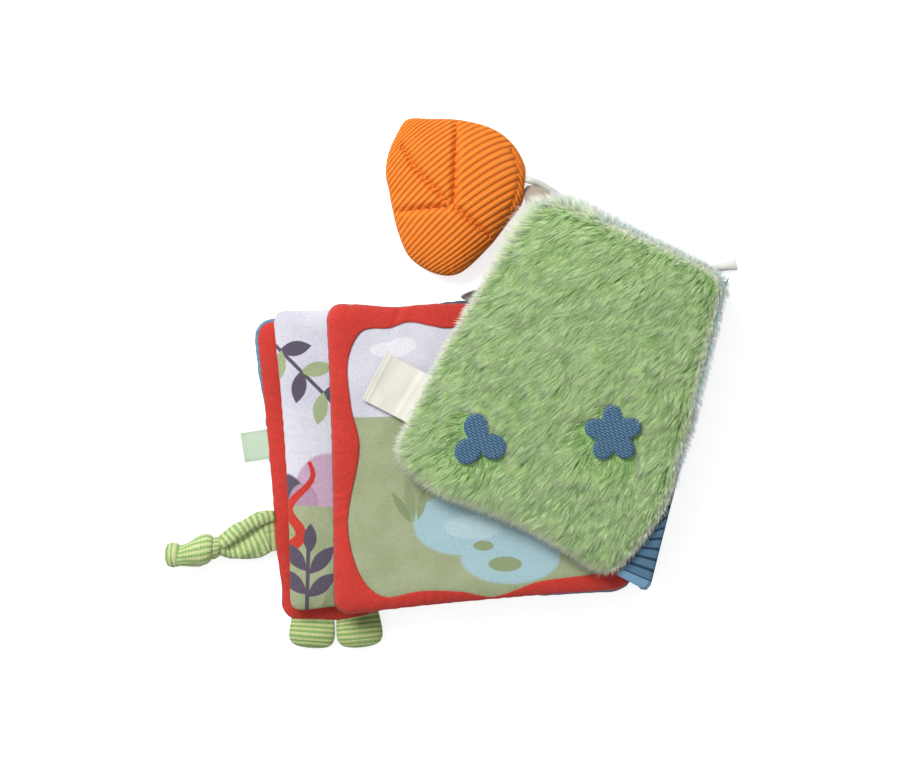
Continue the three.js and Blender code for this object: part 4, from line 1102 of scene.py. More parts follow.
def smooth_line(points, steps):
    """An open smooth line through points, with even steps, and how far along the points each step is."""
    points = np.array(points, float)
    padded = np.vstack([2 * points[0] - points[1], points, 2 * points[-1] - points[-2]])
    line, marks = [], []
    for k in range(len(points) - 1):
        p0, p1, p2, p3 = padded[k:k + 4]
        t1 = max(np.linalg.norm(p1 - p0), 1e-3) ** 0.5
        t2 = t1 + max(np.linalg.norm(p2 - p1), 1e-3) ** 0.5
        t3 = t2 + max(np.linalg.norm(p3 - p2), 1e-3) ** 0.5
        for t in np.linspace(t1, t2, 20, endpoint=False):
            line.append(curve_point((p0, p1, p2, p3), (t1, t2, t3), t))
            marks.append(k + (t - t1) / (t2 - t1))
    line.append(points[-1])
    marks.append(len(points) - 1)
    line = np.array(line)
    run = np.concatenate([[0], np.cumsum(np.linalg.norm(np.diff(line, axis=0), axis=1))])
    at = np.linspace(0, run[-1], steps)
    return np.stack([np.interp(at, run, line[:, j]) for j in range(3)],
                    axis=-1), np.interp(at, run, marks), run[-1]


def tube(name, points, widths, heights, around, along, material, shape=None, size=None, lean=0.0):
    """A closed tube along points. widths and heights are half sizes at each point; shape(turn, along)
    may press folds into it."""
    line, marks, long = smooth_line(points, along + 1)
    wide = np.interp(marks, range(len(widths)), widths)
    high = np.interp(marks, range(len(heights)), heights)
    forward = np.gradient(line, axis=0)
    forward /= np.linalg.norm(forward, axis=1, keepdims=True)
    side = np.cross([0, 0, 1], forward)
    side /= np.linalg.norm(side, axis=1, keepdims=True)
    up = np.cross(forward, side)

    def place(u, v):
        # the first and last row close the ends
        row = np.clip(v * (along + 2) - 1, 0, along)
        closed_end = (v < 0.5 / (along + 2)) | (v > 1 - 0.5 / (along + 2))
        pick = lambda table: np.stack([np.interp(row, range(along + 1), table[:, j]) for j in range(3)],
                                      axis=-1)
        turn = u * 2 * np.pi + lean
        k = np.where(closed_end, 0, 1)
        w = np.interp(row, range(along + 1), wide) * k
        h = np.interp(row, range(along + 1), high) * k
        press = 1 if shape is None else shape(u, row / along)
        return (pick(line) + pick(side) * (np.cos(turn) * w * press)[:, None] + pick(up)
                * (np.sin(turn) * h * press)[:, None])

    girth = 2 * np.pi * max(widths)
    made = cloth(name, around, along + 2, place, None, material, size or (girth, long))
    return made, line, long


gathered = [cord_r * k for k in (0.25, 0.75, 0.8, 0.92)]
widths = gathered + [cord_r] * (len(route) - 6) + [cord_r * 0.97, cord_r * 1.35]
heights = gathered + [cord_r] * (len(route) - 6) + [cord_r * 0.97, cord_r * 0.8]
cord, cord_line, cord_long = tube("satin_cord", route, widths, heights, 28, 260, satin.material)
along_first = read_cloth_map(cord)[:, ::-1]
cord.data.uv_layers["cloth"].data.foreach_set("uv", along_first.ravel())
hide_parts("hanging_cord")
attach(cord, "back_cover")
tuple(route[0] * MM)
cord_long * MM
[tuple(p * MM) for p in cord_line[::4]]
print("cord", round(cord_long, 1), "mm long")

# %% [markdown]
# A small loop of corduroy holds the cord at the top of the spine. The same way of winding cloth
# round a line makes the knot of the tail.

# %% Loop for the cord
LOOP_BAND = [(0.04, 0), (0, 0.55), (0.12, 0.9), (0.34, 1), (0.66, 1), (0.88, 0.9), (1, 0.55), (0.96, 0),
             (0.04, 0)]


def wrap(name, start, end, inner, thick, slant, crease, material, size, around=96, across=48,
         shape=LOOP_BAND):
    """A band of cloth wound round a line from start to end, plump in section, with a crease that runs
    slantwise."""
    start, end = np.array(start, float), np.array(end, float)
    forward = (end - start) / np.linalg.norm(end - start)
    side = np.cross([0, 0, 1], forward)
    side /= np.linalg.norm(side)
    up = np.cross(forward, side)
    long = np.linalg.norm(end - start)
    shape = np.array(shape)
    runs = np.concatenate([[0], np.cumsum(np.linalg.norm(np.diff(shape * [long, thick], axis=0), axis=1))])
    runs /= runs[-1]

    def place(u, v):
        f, h = np.interp(v, runs, shape[:, 0]), np.interp(v, runs, shape[:, 1])
        turn = u * 2 * np.pi
        fold = 1 - crease * (0.5 + 0.5 * np.cos(turn + f * 4.2)) ** 4
        fold = fold - crease * 0.35 * (0.5 + 0.5 * np.cos(3 * turn - f * 5.0 + 1.0)) ** 6
        r = inner + FIT + thick * h * np.where(h > 0.2, fold, 1)
        reach = f * long + slant * np.cos(turn)
        return (start + reach[:, None] * forward + (r * np.cos(turn))[:, None] * side
                + (r * np.sin(turn))[:, None] * up)

    return cloth(name, around, across, place, None, material, size)


def off(p, high):
    return (p[0] + SHIFT[0], p[1] + SHIFT[1], high)


loop = wrap("cord_loop_corduroy", off(loop_at - loop_way * LOOP_WIDE / 2, loop_high),
            off(loop_at + loop_way * LOOP_WIDE / 2, loop_high),
            cord_r, LOOP_WALL, 0, 0, blue_corduroy, (20, 18))
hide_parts("cord_loop")
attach(loop, "back_cover")

# %% [markdown]
# The plush cover is a long-pile cloth with a taupe lining, and its top corner sinks because
# nothing lies below it. The pile is made of real strands: thin, closed, three-sided tufts. One
# tuft is doubled again and again with bmesh, and numpy then bends each copy along the nap. Tufts
# lean together in small clumps, as brushed pile does.

# %% Cloth of the plush cover
DROOP_FROM, DROOP, DROOP_REACH, COVER_ROLL, PILE = 52, 11, 60, 13, 4.6


def droop(place):
    past = np.maximum(0, place[:, 1] - SHIFT[1] - DROOP_FROM) / DROOP_REACH
    return -DROOP * past * past


def pile_foot(place, d):
    """Height of the cloth that the pile grows from."""
    return cover_seam + droop(place) + 0.15 + (COVER_ABOVE - PILE - 0.15) * rise(d, COVER_ROLL)


backing = Finish("backing of the pile", 0.95, 0.3)
green_backing = backing.mix(backing.noise(220, 3).smooth(0.3, 0.7), srgb("7DA862"), srgb("9AC67C"))
from_rim = backing.node("ShaderNodeAttribute", {"attribute_name": "in_from_edge"}, {}, 2)
backing.colour(backing.mix(from_rim.smooth(0.001, 0.006), srgb("EDEBD4"), green_backing))
backing.bump(backing.noise(900, 2), 0.4, 0.3)
# below 75 mm the lining is painted darker: painted shade on its lower lobe, which peeps out from under the
# cover
taupe = cotton("taupe lining", srgb("B2A698"), srgb("978B7F"), below=(75, srgb("8E8684")))
cover_cloth = sewn_skin("plush_backing", cover_edge, lambda place, d, run: pile_foot(place, d),
                        backing.material, roll=COVER_ROLL)
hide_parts("fur_panel")
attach(cover_cloth, "plush_cover")
# middle of each lobe of the lining, its way and reach, its width and how far it sinks
LINING_LOBES = [((57.0, 110.0), (-0.72, 0.69), 17.0, 13, 17.5), ((19.5, 53.0), (-0.99, -0.09), 13.0, 5, 0)]
LINING_IN = 1.4  # elsewhere the lining stays this far behind the seam


def lining_stray(place, d, run):
    """The lining is cut a little full: it peeps out at two places along the free side, and hides
    elsewhere."""
    near_rim = np.clip(1 - d / 10, 0, 1)
    hidden = np.ones(len(place))
    moved = place.copy()
    for at, way, reach, wide, _ in LINING_LOBES:
        share = np.exp(-(np.linalg.norm(place - np.array(at) - SHIFT, axis=1) / wide) ** 2)
        moved += np.outer(reach * share * near_rim, way)
        hidden *= 1 - np.minimum(1, 1.6 * share)
    return moved - cover_edge.out_at(run) * (LINING_IN * near_rim * hidden)[:, None]


def lining_lift(place, d, run):
    """The underside of the cover. A lobe that nothing holds up sinks as it runs out."""
    beyond = ((place - cover_edge.at(run)) * cover_edge.out_at(run)).sum(1)
    (_, _, reach, _, sink), _ = LINING_LOBES
    loose = np.clip((place[:, 1] - SHIFT[1] - 75) / 20, 0, 1)
    low = sink * loose * np.clip(beyond / reach, 0, 1) ** 1.2
    return (leaf_lift(cover_seam, COVER_BELOW, -1, 8.2, soft=0.4, roll=COVER_ROLL)(place, d, run)
            + droop(place) - low)


lining = sewn_skin("plush_cover_lining", cover_edge, lining_lift, taupe, way=-1, roll=COVER_ROLL,
                   stray=lining_stray)
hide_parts("cover_lining")
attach(lining, "plush_cover")
print("cover cloth made")

# %% [markdown]
# The roots of the tufts are drawn at random: most over the whole cloth, the others close to the
# seam, where they make the fringe.

# %% Pile
def on_cover(across, up):
    """A place on the cover, as shares of the way from its lower left corner to the right and up."""
    cut = np.array(COVER_CUT)
    low, high = cut[1] + (cut[2] - cut[1]) * across, cut[5] + (cut[4] - cut[5]) * across
    return low + (high - low) * up


# place, reach of a petal, number of petals, depth of the notches between them, turn
PATCHES = {"stitched_sprig": (on_cover(0.144, 0.191), 17, 3, 0.4, 100),
           "stitched_flower": (on_cover(0.751, 0.395), 17.5, 5, 0.6, 20)}
PILE_PIECES, TUFTS, IN_THE_FIELD, FRINGE_DEEP = 5, 81600, 0.82, 4.6


def petal_reach(angle, reach, petals, waist):
    return reach * (waist + (1 - waist) * np.abs(np.cos(angle * petals / 2)))


def off_segment(points, a, b):
    """How far each point is from the straight line between a and b."""
    ab = b - a
    t = np.clip(((points - a) @ ab) / (ab @ ab), 0, 1)
    return np.linalg.norm(points - a - t[:, None] * ab, axis=1)


def inside(line, points):
    """Whether points lie inside a closed line, and how far they are from it."""
    ring = np.vstack([line, line[:1]])
    hit = np.zeros(len(points), bool)
    near = np.full(len(points), 1e9)
    for a, b in zip(ring[:-1], ring[1:]):
        cross = (a[1] > points[:, 1]) != (b[1] > points[:, 1])
        x = (b[0] - a[0]) * (points[:, 1] - a[1]) / (b[1] - a[1] + 1e-12) + a[0]
        hit ^= cross & (points[:, 0] < x)
        near = np.minimum(near, off_segment(points, a, b))
    return hit, near


def field(points, seed, reach):
    """A smooth random number from -1 to 1 at each place."""
    rng = np.random.default_rng(int(seed * 10))
    total = np.zeros(len(points))
    for _ in range(8):
        way, phase = rng.uniform(0, 2 * np.pi, 2)
        long = reach * rng.uniform(0.5, 1.6)
        total += np.sin((points[:, 0] * np.cos(way) + points[:, 1] * np.sin(way)) * 2 * np.pi / long
                        + phase)
    return total / 8 * 1.6


def patch_clear(points):
    """1 away from the stitched motifs, falling to 0 inside them, and the way out of them."""
    clear = np.ones(len(points))
    away = np.zeros_like(points)
    for (cx, cy), reach, petals, waist, turn in PATCHES.values():
        dx = points - np.array([cx, cy]) - SHIFT
        r = np.linalg.norm(dx, axis=1)
        a = np.arctan2(dx[:, 1], dx[:, 0]) - math.radians(turn)
        edge = petal_reach(a, reach, petals, waist)
        k = np.clip((r - edge + 1.0) / 9, 0, 1)
        clear = np.minimum(clear, k)
        away += (dx / np.maximum(r, 1e-6)[:, None] * np.clip(1 - (r - edge) / 10, 0, 1)[:, None]
                 * (r > edge - 2)[:, None])
    return clear, away


rng = np.random.default_rng(451)
cover_line = cover_edge.points
low, high = cover_line.min(0), cover_line.max(0)
roots = rng.uniform(low, high, (TUFTS * 2, 2))
inner_hit, edge_away = inside(cover_line, roots)
roots, edge_away = roots[inner_hit], edge_away[inner_hit]
count = int(TUFTS * IN_THE_FIELD)
roots, edge_away = roots[:count], edge_away[:count]
fringe_run = rng.uniform(0, cover_edge.long, TUFTS - count)
fringe = cover_edge.at(fringe_run)
fringe = (fringe - cover_edge.out_at(fringe_run)
          * (FRINGE_DEEP * rng.uniform(0, 1, len(fringe)) ** 1.3)[:, None])
roots = np.vstack([roots, fringe])
edge_away = np.concatenate([edge_away, np.zeros(len(fringe)) + 0.5])
is_fringe = np.arange(len(roots)) >= count
print(len(roots), "tufts,", int(is_fringe.sum()), "of them along the seam")

# %% [markdown]
# The nap is the way that the pile is brushed: down and to the left, with slow turns. Near the
# seam it is brushed outwards, and round the stitched motifs away from them.

# %% Nap
NAP_WAY, NAP_TURN, NAP_RISE, NAP_SLOW, NAP_QUICK, NAP_STRAY = 216, 40, 6, 16, 10, 9
HAIR_LONG, HAIR_SPREAD, HAIR_LIFT = 12.6, 2.0, 4.0
across_share = (roots[:, 0] - low[0]) / (high[0] - low[0])
up_share = (roots[:, 1] - low[1]) / (high[1] - low[1])
nap = np.radians(NAP_WAY + NAP_TURN * across_share * (1 - up_share) - NAP_RISE * up_share)
nap = nap + np.radians(NAP_SLOW) * field(roots, 71, 46) + np.radians(NAP_QUICK) * field(roots, 72, 17)
nap = nap + rng.normal(0, np.radians(NAP_STRAY), len(roots))
outward = np.zeros_like(roots)
probe_run = np.linspace(0, cover_edge.long, 1200, endpoint=False)
probe, probe_out = cover_edge.at(probe_run), cover_edge.out_at(probe_run)
for part in np.array_split(np.arange(len(roots)), 24):
    gap = np.linalg.norm(roots[part, None, :] - probe[None], axis=2)
    outward[part] = probe_out[gap.argmin(1)]
near_edge = np.clip(1 - edge_away / 7, 0, 1)
way = np.stack([np.cos(nap), np.sin(nap)], axis=-1)
clear, patch_away = patch_clear(roots)
# beside the upper left corner the pile is brushed further out than elsewhere
corner_gap = np.linalg.norm(roots - np.array(COVER_CUT[5]) - SHIFT, axis=1)
on_left, on_top, on_right, on_hem = (
    np.clip((outward @ way_out - 0.75) * 8, 0, 1) for way_out in (
        away_from(COVER_CUT[5], COVER_CUT[0]), away_from(COVER_CUT[4], COVER_CUT[5]), side_out, hem_out))
brushed = (on_left * 7 * np.exp(-((corner_gap - 20) / 27) ** 2) + on_top * 4
           * np.exp(-((corner_gap - 22) / 28) ** 2))
# where the nap runs inwards, only the last millimetres of the pile turn out over the seam
with_nap = np.clip(0.5 + 0.8 * (way * outward).sum(1), 0, 1)
turn_out = near_edge * (0.15 + 0.85 * with_nap) + 0.2 * near_edge * brushed
way = (way * (1 - 0.6 * np.minimum(1, turn_out))[:, None] + outward
       * (0.8 * turn_out + 1.5 * is_fringe)[:, None] + patch_away * 0.7)
way /= np.maximum(np.linalg.norm(way, axis=1, keepdims=True), 1e-6)
curl = np.clip((up_share - 0.45) * 2, 0, 1) * np.clip((across_share - 0.4) * 2, 0, 1)
long = (rng.normal(HAIR_LONG, HAIR_SPREAD, len(roots)) * (1 - 0.4 * curl) * (1 - 0.4 * near_edge)
        + near_edge * brushed)
upper = np.clip((roots[:, 1] - SHIFT[1] + 80) / 50, 0, 1)
hem_short = (2.4 * on_hem + 1.6 * on_top
             * np.clip(1 - np.linalg.norm(roots - np.array(COVER_CUT[4]) - SHIFT, axis=1) / 25, 0, 1))
fringe_long = rng.uniform(4.6, 6.2, len(roots)) + (3.8 * upper - 0.8) * on_right - hem_short + brushed
long = np.where(is_fringe, fringe_long, long) * (0.25 + 0.75 * clear)
lift = ((HAIR_LIFT + 0.9 * curl + rng.normal(0, 0.6, len(roots)) + 0.9 * field(roots, 73, 24))
        * (0.3 + 0.7 * clear))
lift = np.where(is_fringe, rng.uniform(-0.6, 3.8, len(roots)), lift * (1 - 0.2 * near_edge))

# each tuft's tip is drawn towards the tip of the nearest clump, and some clumps stand higher, in the light
CLUMPS, CLUMP_PULL, CLUMP_RISE = 5000, 0.5, 0.55
clump = rng.uniform(low - 3, high + 3, (CLUMPS, 2))
clump_high = rng.uniform(-1, 1, CLUMPS)
nearest = np.zeros(len(roots), int)
for part in np.array_split(np.arange(len(roots)), 60):
    gap = ((roots[part, None, :] - clump[None]) ** 2).sum(2)
    nearest[part] = gap.argmin(1)
tips = roots + way * long[:, None]
clump_tip = np.zeros((len(clump), 2))
for k in (0, 1):
    clump_tip[:, k] = (np.bincount(nearest, tips[:, k], len(clump))
                       / np.maximum(1, np.bincount(nearest, minlength=len(clump))))
pull = np.where(is_fringe, 0.12, CLUMP_PULL) * rng.uniform(0.5, 1.2, len(roots))
tips = tips + (clump_tip[nearest] - tips) * pull[:, None]
lift = lift + np.where(is_fringe, 0, CLUMP_RISE) * clump_high[nearest] * (0.3 + 0.7 * clear)
# the tone follows the clump's height: painted light on high clumps, painted shade on low ones, with some
# random tone
clump_light_and_tone = np.clip(0.26 + 0.30 * clump_high[nearest] + rng.uniform(0, 0.62, len(roots)), 0, 1)
foot = np.column_stack([roots, pile_foot(roots, np.maximum(0, edge_away)) - 0.5])
print("nap set; mean tuft length", round(float(long.mean()), 1), "mm")

# %% [markdown]
# One small cone is cut once across, so that it can bend, and then doubled until there are enough.
# Each copy is as long, thick and bent as its tuft, and carries three values for its colour: how far up the
# tuft a point is, from painted shade at the foot to pale tips, partly their own colour and partly painted
# highlight;
# the tone of its clump, painted light where it stands high and painted shade where it lies low, with some
# random tone; and how pale it is.

# %% Tufts
# up a tuft: painted shade at the foot, pale tips partly painted highlight; the two ramps below are a shaded
# and a lit copy of one green
UP_THE_TUFT = (0.0, 0.3, 0.65, 1.0)
CLUMP_IN_SHADE = ("3E6C2A", "70A24A", "9CCC70", "D6ECB0")
CLUMP_IN_LIGHT = ("5D9342", "AEE07C", "E6FAC0", "FFFFF0")


def hair(name, glow):
    """Pile with painted shade at its foot and pale tips, partly their own colour and partly painted
    highlight; painted light where a tuft stands high and painted shade where it lies low. glow is how much
    light goes through it."""
    finish = Finish(name, 0.68, 0.25)
    finish.shader.inputs["Subsurface Weight"].default_value = glow
    finish.shader.inputs["Subsurface Scale"].default_value = 0.002
    up, tone, pale = (finish.node("ShaderNodeAttribute", {"attribute_name": label}, {}, 2)
                      for label in ("up_the_tuft", "tuft_tone", "tuft_pale"))
    shaded_hair, lit_hair = (
        finish.node("ShaderNodeValToRGB",
                    {"stops": [(at, srgb(tint)) for at, tint in zip(UP_THE_TUFT, tints)]}, {"Fac": up})
        for tints in (CLUMP_IN_SHADE, CLUMP_IN_LIGHT))
    finish.colour(finish.mix(pale, finish.mix(tone, shaded_hair, lit_hair), srgb("FDFDEC")))
    return finish


pile = hair("green pile", 0.0)
fringe_finish = hair("cream fringe", 0.9)


def tuft_mesh():
    """One tuft: three sides, one joint and a point."""
    bm = bmesh.new()
    bmesh.ops.create_cone(bm, cap_ends=True, cap_tris=True, segments=3, radius1=1, radius2=0, depth=1)
    for v in bm.verts:
        v.co.z += 0.5
    bmesh.ops.bisect_plane(bm, geom=bm.verts[:] + bm.edges[:] + bm.faces[:], plane_co=(0, 0, 0.5),
                           plane_no=(0, 0, 1))
    return bm


def tufts(name, pick, material):
    bm = tuft_mesh()
    shape = np.array([v.co for v in bm.verts])
    one = len(shape)
    made = 1
    while made < len(pick):
        take = min(made, len(pick) - made)
        bm.verts.ensure_lookup_table()
        bm.faces.ensure_lookup_table()
        verts = bm.verts[:take * one]
        faces_each = len(bm.faces) // made
        bmesh.ops.duplicate(bm, geom=verts + bm.faces[:take * faces_each])
        made += take
    mesh = bpy.data.meshes.new(name)
    bm.to_mesh(mesh)
    bm.free()
    up = np.tile(shape[:, 2], len(pick))
    section = np.tile(shape[:, :2], (len(pick), 1))
    owner = np.repeat(pick, one)
    reach = tips[owner] - roots[owner]
    t = up[:, None]
    flat = roots[owner] + reach * (0.25 * t + 0.75 * t ** 1.5)
    rise_up = lift[owner] * (1 - (1 - up) ** 2.2)
    sag = np.where(is_fringe[owner], 0, 1.2) * up ** 3
    z = foot[owner, 2] + rise_up - sag
    ahead = reach / np.maximum(np.linalg.norm(reach, axis=1, keepdims=True), 1e-6)
    side = np.stack([-ahead[:, 1], ahead[:, 0]], axis=-1)
    thin = thick[owner] * (1 - 0.35 * up) / np.maximum(1 - up, 0.02) * (up < 0.99)
    w = section[:, :1] * thin[:, None]
    h = section[:, 1] * thin * 0.8
    co = np.column_stack([flat + side * w, z + h])
    mesh.vertices.foreach_set("co", (co * MM).astype(np.float32).ravel())
    for label, values in (("up_the_tuft", up), ("tuft_tone", clump_light_and_tone[owner]),
                          ("tuft_pale", paleness[owner])):
        attribute = mesh.attributes.new(label, "FLOAT", "POINT")
        attribute.data.foreach_set("value", values.astype(np.float32))
    mesh.polygons.foreach_set("use_smooth", [True] * len(mesh.polygons))
    mesh.materials.append(material)
    mesh.update()
    piece = bpy.data.objects.new(name, mesh)
    bpy.context.scene.collection.objects.link(piece)
    return piece


THICK_FROM, THICK_TO, PALE_REACH = 0.11, 0.19, 4.5
thick = rng.uniform(THICK_FROM, THICK_TO, len(roots)) * np.where(is_fringe, 0.8, 1)
paleness = 0.8 * np.clip(1 - (edge_away - 0.5) / PALE_REACH, 0, 1) ** 1.2
paleness = np.where(is_fringe, rng.uniform(0.7, 1, len(roots)), paleness)
paleness = np.clip(paleness + np.where(rng.uniform(0, 1, len(roots)) < 0.14, 0.3, 0), 0, 1)
order = rng.permutation(count)
picks = [(f"plush_pile_{k + 1}", pick, pile) for k, pick in enumerate(np.array_split(order, PILE_PIECES))]
picks.append(("plush_fringe", np.arange(count, len(roots)), fringe_finish))
for name, pick, finish in picks:
    made = tufts(name, pick, finish.material)
    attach(made, "plush_cover")
    print(made.name, len(made.data.polygons), "faces")

# %% [markdown]
# The two stitched motifs are satin stitch: rows of thread laid side by side over a soft pad, with
# a clean raised edge. Each is a rounded pad whose relief shows the rows, with painted shade where rows
# and stitches part; the thread's shine comes from a low roughness, with painted highlights in fine lines
# along the stitches.

# %% Stitched motifs
thread = Finish("blue embroidery thread", 0.5, 0.25)
tx, ty, _ = thread.xyz()
stitch_way = math.radians(-28)
t_along = tx * math.cos(stitch_way) + ty * math.sin(stitch_way)
t_across = ty * math.cos(stitch_way) - tx * math.sin(stitch_way)
STITCH_ROW, STITCH_LONG = 1.5, 3.6
SUNK = 1.9  # the stitches press the pile down
uneven = (thread.noise(150, 2) - 0.5) * 1.6
row = (t_across * (2 * math.pi / (STITCH_ROW * MM)) + uneven).sin() * 0.5 + 0.5
row_number = (t_across / (STITCH_ROW * MM) + uneven * (0.5 / math.pi) + 0.25).floor()
stitch = (t_along * (2 * math.pi / (STITCH_LONG * MM)) + row_number * 2.4 + uneven).sin() * 0.5 + 0.5
laid = row.smooth(0.05, 0.7) * (stitch.smooth(0.0, 0.35) * 0.75 + 0.25)
lay = thread.node("ShaderNodeCombineXYZ", {}, {0: t_along * 0.22, 1: t_across, 2: 0.0})
strand = thread.noise(1900, 2, 0.6, lay)
# dark where rows and stitches part: painted shade; pale fine lines along the stitches: painted highlights
thread.colour(thread.mix(laid * 0.75 + strand.smooth(0.35, 0.7) * 0.35, srgb("1F344A"), srgb("557E9C")))
thread.bump(laid + strand * 0.4, 0.6, 0.35)


def motif(name, at, reach, petals, waist, turn):
    steps = np.linspace(0, 2 * np.pi, 480, endpoint=False)
    r = petal_reach(steps, reach, petals, waist)
    line = np.stack([at[0] + r * np.cos(steps + math.radians(turn)),
                     at[1] + r * np.sin(steps + math.radians(turn))], axis=-1)
    edge = Edge(line, [60, 180, 300, 420])
    low = cover_top - SUNK

    def lift(place, d, run):
        return low + (0.9 + 0.25 * swell(place, 9.1, 11)) * np.minimum(1, d / 1.6) ** 0.6

    return sewn_skin(name, edge, lift, thread.material, cells=90, cloth=0.5, roll=3)


for name, (at, reach, petals, waist, turn) in PATCHES.items():
    made = motif(name + "_thread", at, reach, petals, waist, turn)
    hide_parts(name)
    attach(made, "plush_cover")
print("stitched motifs made")

# %% [markdown]
# The label is thin folded satin, sewn in at one end and bare. It keeps the creases of its fold.
# The tag is a short folded ribbon in the left edge.

# %% Label and tag
LABEL_THREAD, RIBBON_RIB = 0.0007, 0.0009  # from one thread and one rib to the next, in metres
label_satin = Finish("label satin", 0.55, 0.2)
lx, ly, _ = label_satin.xyz(label_satin.uv())
label_weave = (lx * (2 * math.pi / LABEL_THREAD)).sin() * (ly * (2 * math.pi / LABEL_THREAD)).sin()
label_satin.colour(label_satin.mix(label_satin.noise(90, 3).smooth(0.3, 0.7) * 0.3
                                   + label_satin.noise(1300, 2) * 0.2, srgb("DAD7CD"), srgb("C4C0B6")))
label_satin.bump(label_weave + label_satin.noise(70, 3) * 2.5, 0.35, 0.2)

LABEL_WIDE, LABEL_LONG, LABEL_CLOTH, LABEL_TURN, LABEL_SHARE, LABEL_OUT = 31.5, 34, 0.5, 152.7, 0.808, 1.7
free_side = np.array(COVER_CUT[0]) - np.array(COVER_CUT[5])
free_out = np.array([free_side[1], -free_side[0]]) / np.linalg.norm(free_side)
bow = ((LABEL_SHARE * np.linalg.norm(free_side) - COVER_CORNER)
       / (np.linalg.norm(free_side) - 2 * COVER_CORNER))
label_at = (np.array(COVER_CUT[5]) + free_side * LABEL_SHARE + free_out
            * (LABEL_OUT + COVER_BULGE[5] * 4 * bow * (1 - bow)) + SHIFT)
LABEL_IN = 2.7  # the photographed label lies this much further in than its solid
label_at = label_at - heading(LABEL_TURN) * LABEL_IN
label_low = front_high + FIT + BORDER_CLOTH + FIT + LABEL_CLOTH / 2


def label_place(u, v):
    out, across = heading(LABEL_TURN), heading(LABEL_TURN - 90)
    high = label_low + (cover_seam - label_low) * (1 - np.minimum(1, v * 2.6)) ** 1.4
    crease = 0.25 * np.exp(-((v - 0.9) / 0.02) ** 2) + 0.5 * np.exp(-((v - 0.33 + 0.1 * u) / 0.05) ** 2)
    curl_up = (0.9 * np.clip((v - 0.7) / 0.3, 0, 1) ** 2 * (0.4 + 0.6 * u) + 0.4
               * np.sin(v * 7 + u * 2) ** 2 * v)
    high = high + crease * np.minimum(1, v * 3) + curl_up
    flat = (label_at + np.multiply.outer(v * LABEL_LONG, out)
            + np.multiply.outer((u - 0.5) * LABEL_WIDE, across))
    return np.column_stack([flat, high])


label = cloth("bare_label", 60, 70, label_place, LABEL_CLOTH, label_satin.material,
              (LABEL_WIDE, LABEL_LONG))
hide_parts("care_label")
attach(label, "care_label")

TAG_WIDE, TAG_LONG, TAG_CLOTH, TAG_TURN = 17.8, 16.5, 1.2, 189
SELVEDGE = (0.0074, 0.0082)  # the woven edge line of the ribbon, from and to, off its middle, in metres
mint = Finish("mint ribbon", 0.6, 0.2)
mx, my, _ = mint.xyz(mint.uv())
grosgrain = (my * (2 * math.pi / RIBBON_RIB)).sin() * 0.5 + 0.5
from_middle = (mx - TAG_WIDE / 2 * MM).abs()
edge_line = ((from_middle - SELVEDGE[0]).smooth(-0.0004, 0.0004)
             * (1 - (from_middle - SELVEDGE[1]).smooth(-0.0002, 0.0002)))
mint.colour(mint.mix(grosgrain * 0.25 + edge_line * 0.4, srgb("B6C7B1"), srgb("93B096")))
mint.bump(grosgrain, 0.4, 0.15)


def on_side(leaf, side, t, out, drawn=DRAWN_IN):
    corners = leaf_corners(leaf)
    a, b = corners[side], corners[(side + 1) % 4]
    long = np.linalg.norm(b - a)
    way = (b - a) / long
    bowed = min(1, max(0, (t * long - CORNER) / (long - 2 * CORNER)))
    return a + (b - a) * t + np.array([way[1], -way[0]]) * (out - drawn * 4 * bowed * (1 - bowed))


SEAM_ROOM = 0.8
tag_root = on_side(BACK, 3, 0.4065, 0) + SHIFT


def tag_place(u, v):
    low = TAG_CLOTH / 2 + 0.05
    high = np.maximum(low, back_seam + (low - back_seam) * np.minimum(1, v * 1.25))
    out, across = heading(TAG_TURN), heading(TAG_TURN - 90)
    flat = tag_root + np.multiply.outer(v * TAG_LONG, out) + np.multiply.outer((u - 0.5) * TAG_WIDE, across)
    return np.column_stack([flat, high + 0.25 * np.sin(u * np.pi) * v])


tag = cloth("bare_side_tag", 30, 36, tag_place, TAG_CLOTH, mint.material, (TAG_WIDE, TAG_LONG))
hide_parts("side_tag")
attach(tag, "side_tag")
print("label and tag made")

# %% [markdown]
# Tail and feet are striped jersey, stuffed. The stripes follow the cloth, so they are drawn on
# the pieces' own UV maps: across the tail, and across the feet. The knit itself is a fine row of
# stitches. The tail is twisted into a knot near its end, with creases where the cloth turns.

# %% Striped jersey
WALE, COURSE = 0.0013, 0.0011  # the knit's columns and rows, in metres


def jersey(name, period, pale, green, lengthwise=1, share=0.5):
    finish = Finish(name, 0.9, 0.3)
    parts = finish.xyz(finish.uv())
    run, other = parts[lengthwise], parts[1 - lengthwise]
    wander = (finish.noise(80, 2, 0.5) - 0.5) * 0.9
    wales = (other * (2 * math.pi / WALE)).sin()
    wave = (run * (2 * math.pi / (period * MM)) + wander + wales * 0.3).sin() * 0.5 + 0.5
    band = wave.smooth(share - 0.42, share + 0.42)
    loops = (wales * 0.5 + 0.5) * ((run * (2 * math.pi / COURSE)).sin() * 0.5 + 0.5)
    fleck = finish.noise(900, 3, 0.65).smooth(0.3, 0.72)
    colour = finish.mix(band, srgb(pale), srgb(green))
    # deep is a darker copy of each stripe colour: painted shade where the knit loops dip, and the yarn's
    # own flecks
    deep = finish.mix(band, srgb("98A468"), srgb("5B8040"))
    finish.colour(finish.mix(fleck * 0.36 + (1 - loops) * 0.42, colour, deep))
    finish.bump(loops + fleck * 0.4, 0.5, 0.35)
    return finish.material


tail_jersey = jersey("striped jersey, tail", 3.3, "E0E6B2", "A0C576")
# the feet take a darker copy of the tail's jersey: painted shade from the book above them
foot_jersey_shaded = jersey("striped jersey, feet, painted shade", 3.1, "CBD29C", "8DB065")
knot_jersey = jersey("striped jersey, knot", 3.3, "E0E6B2", "A0C576", lengthwise=0)

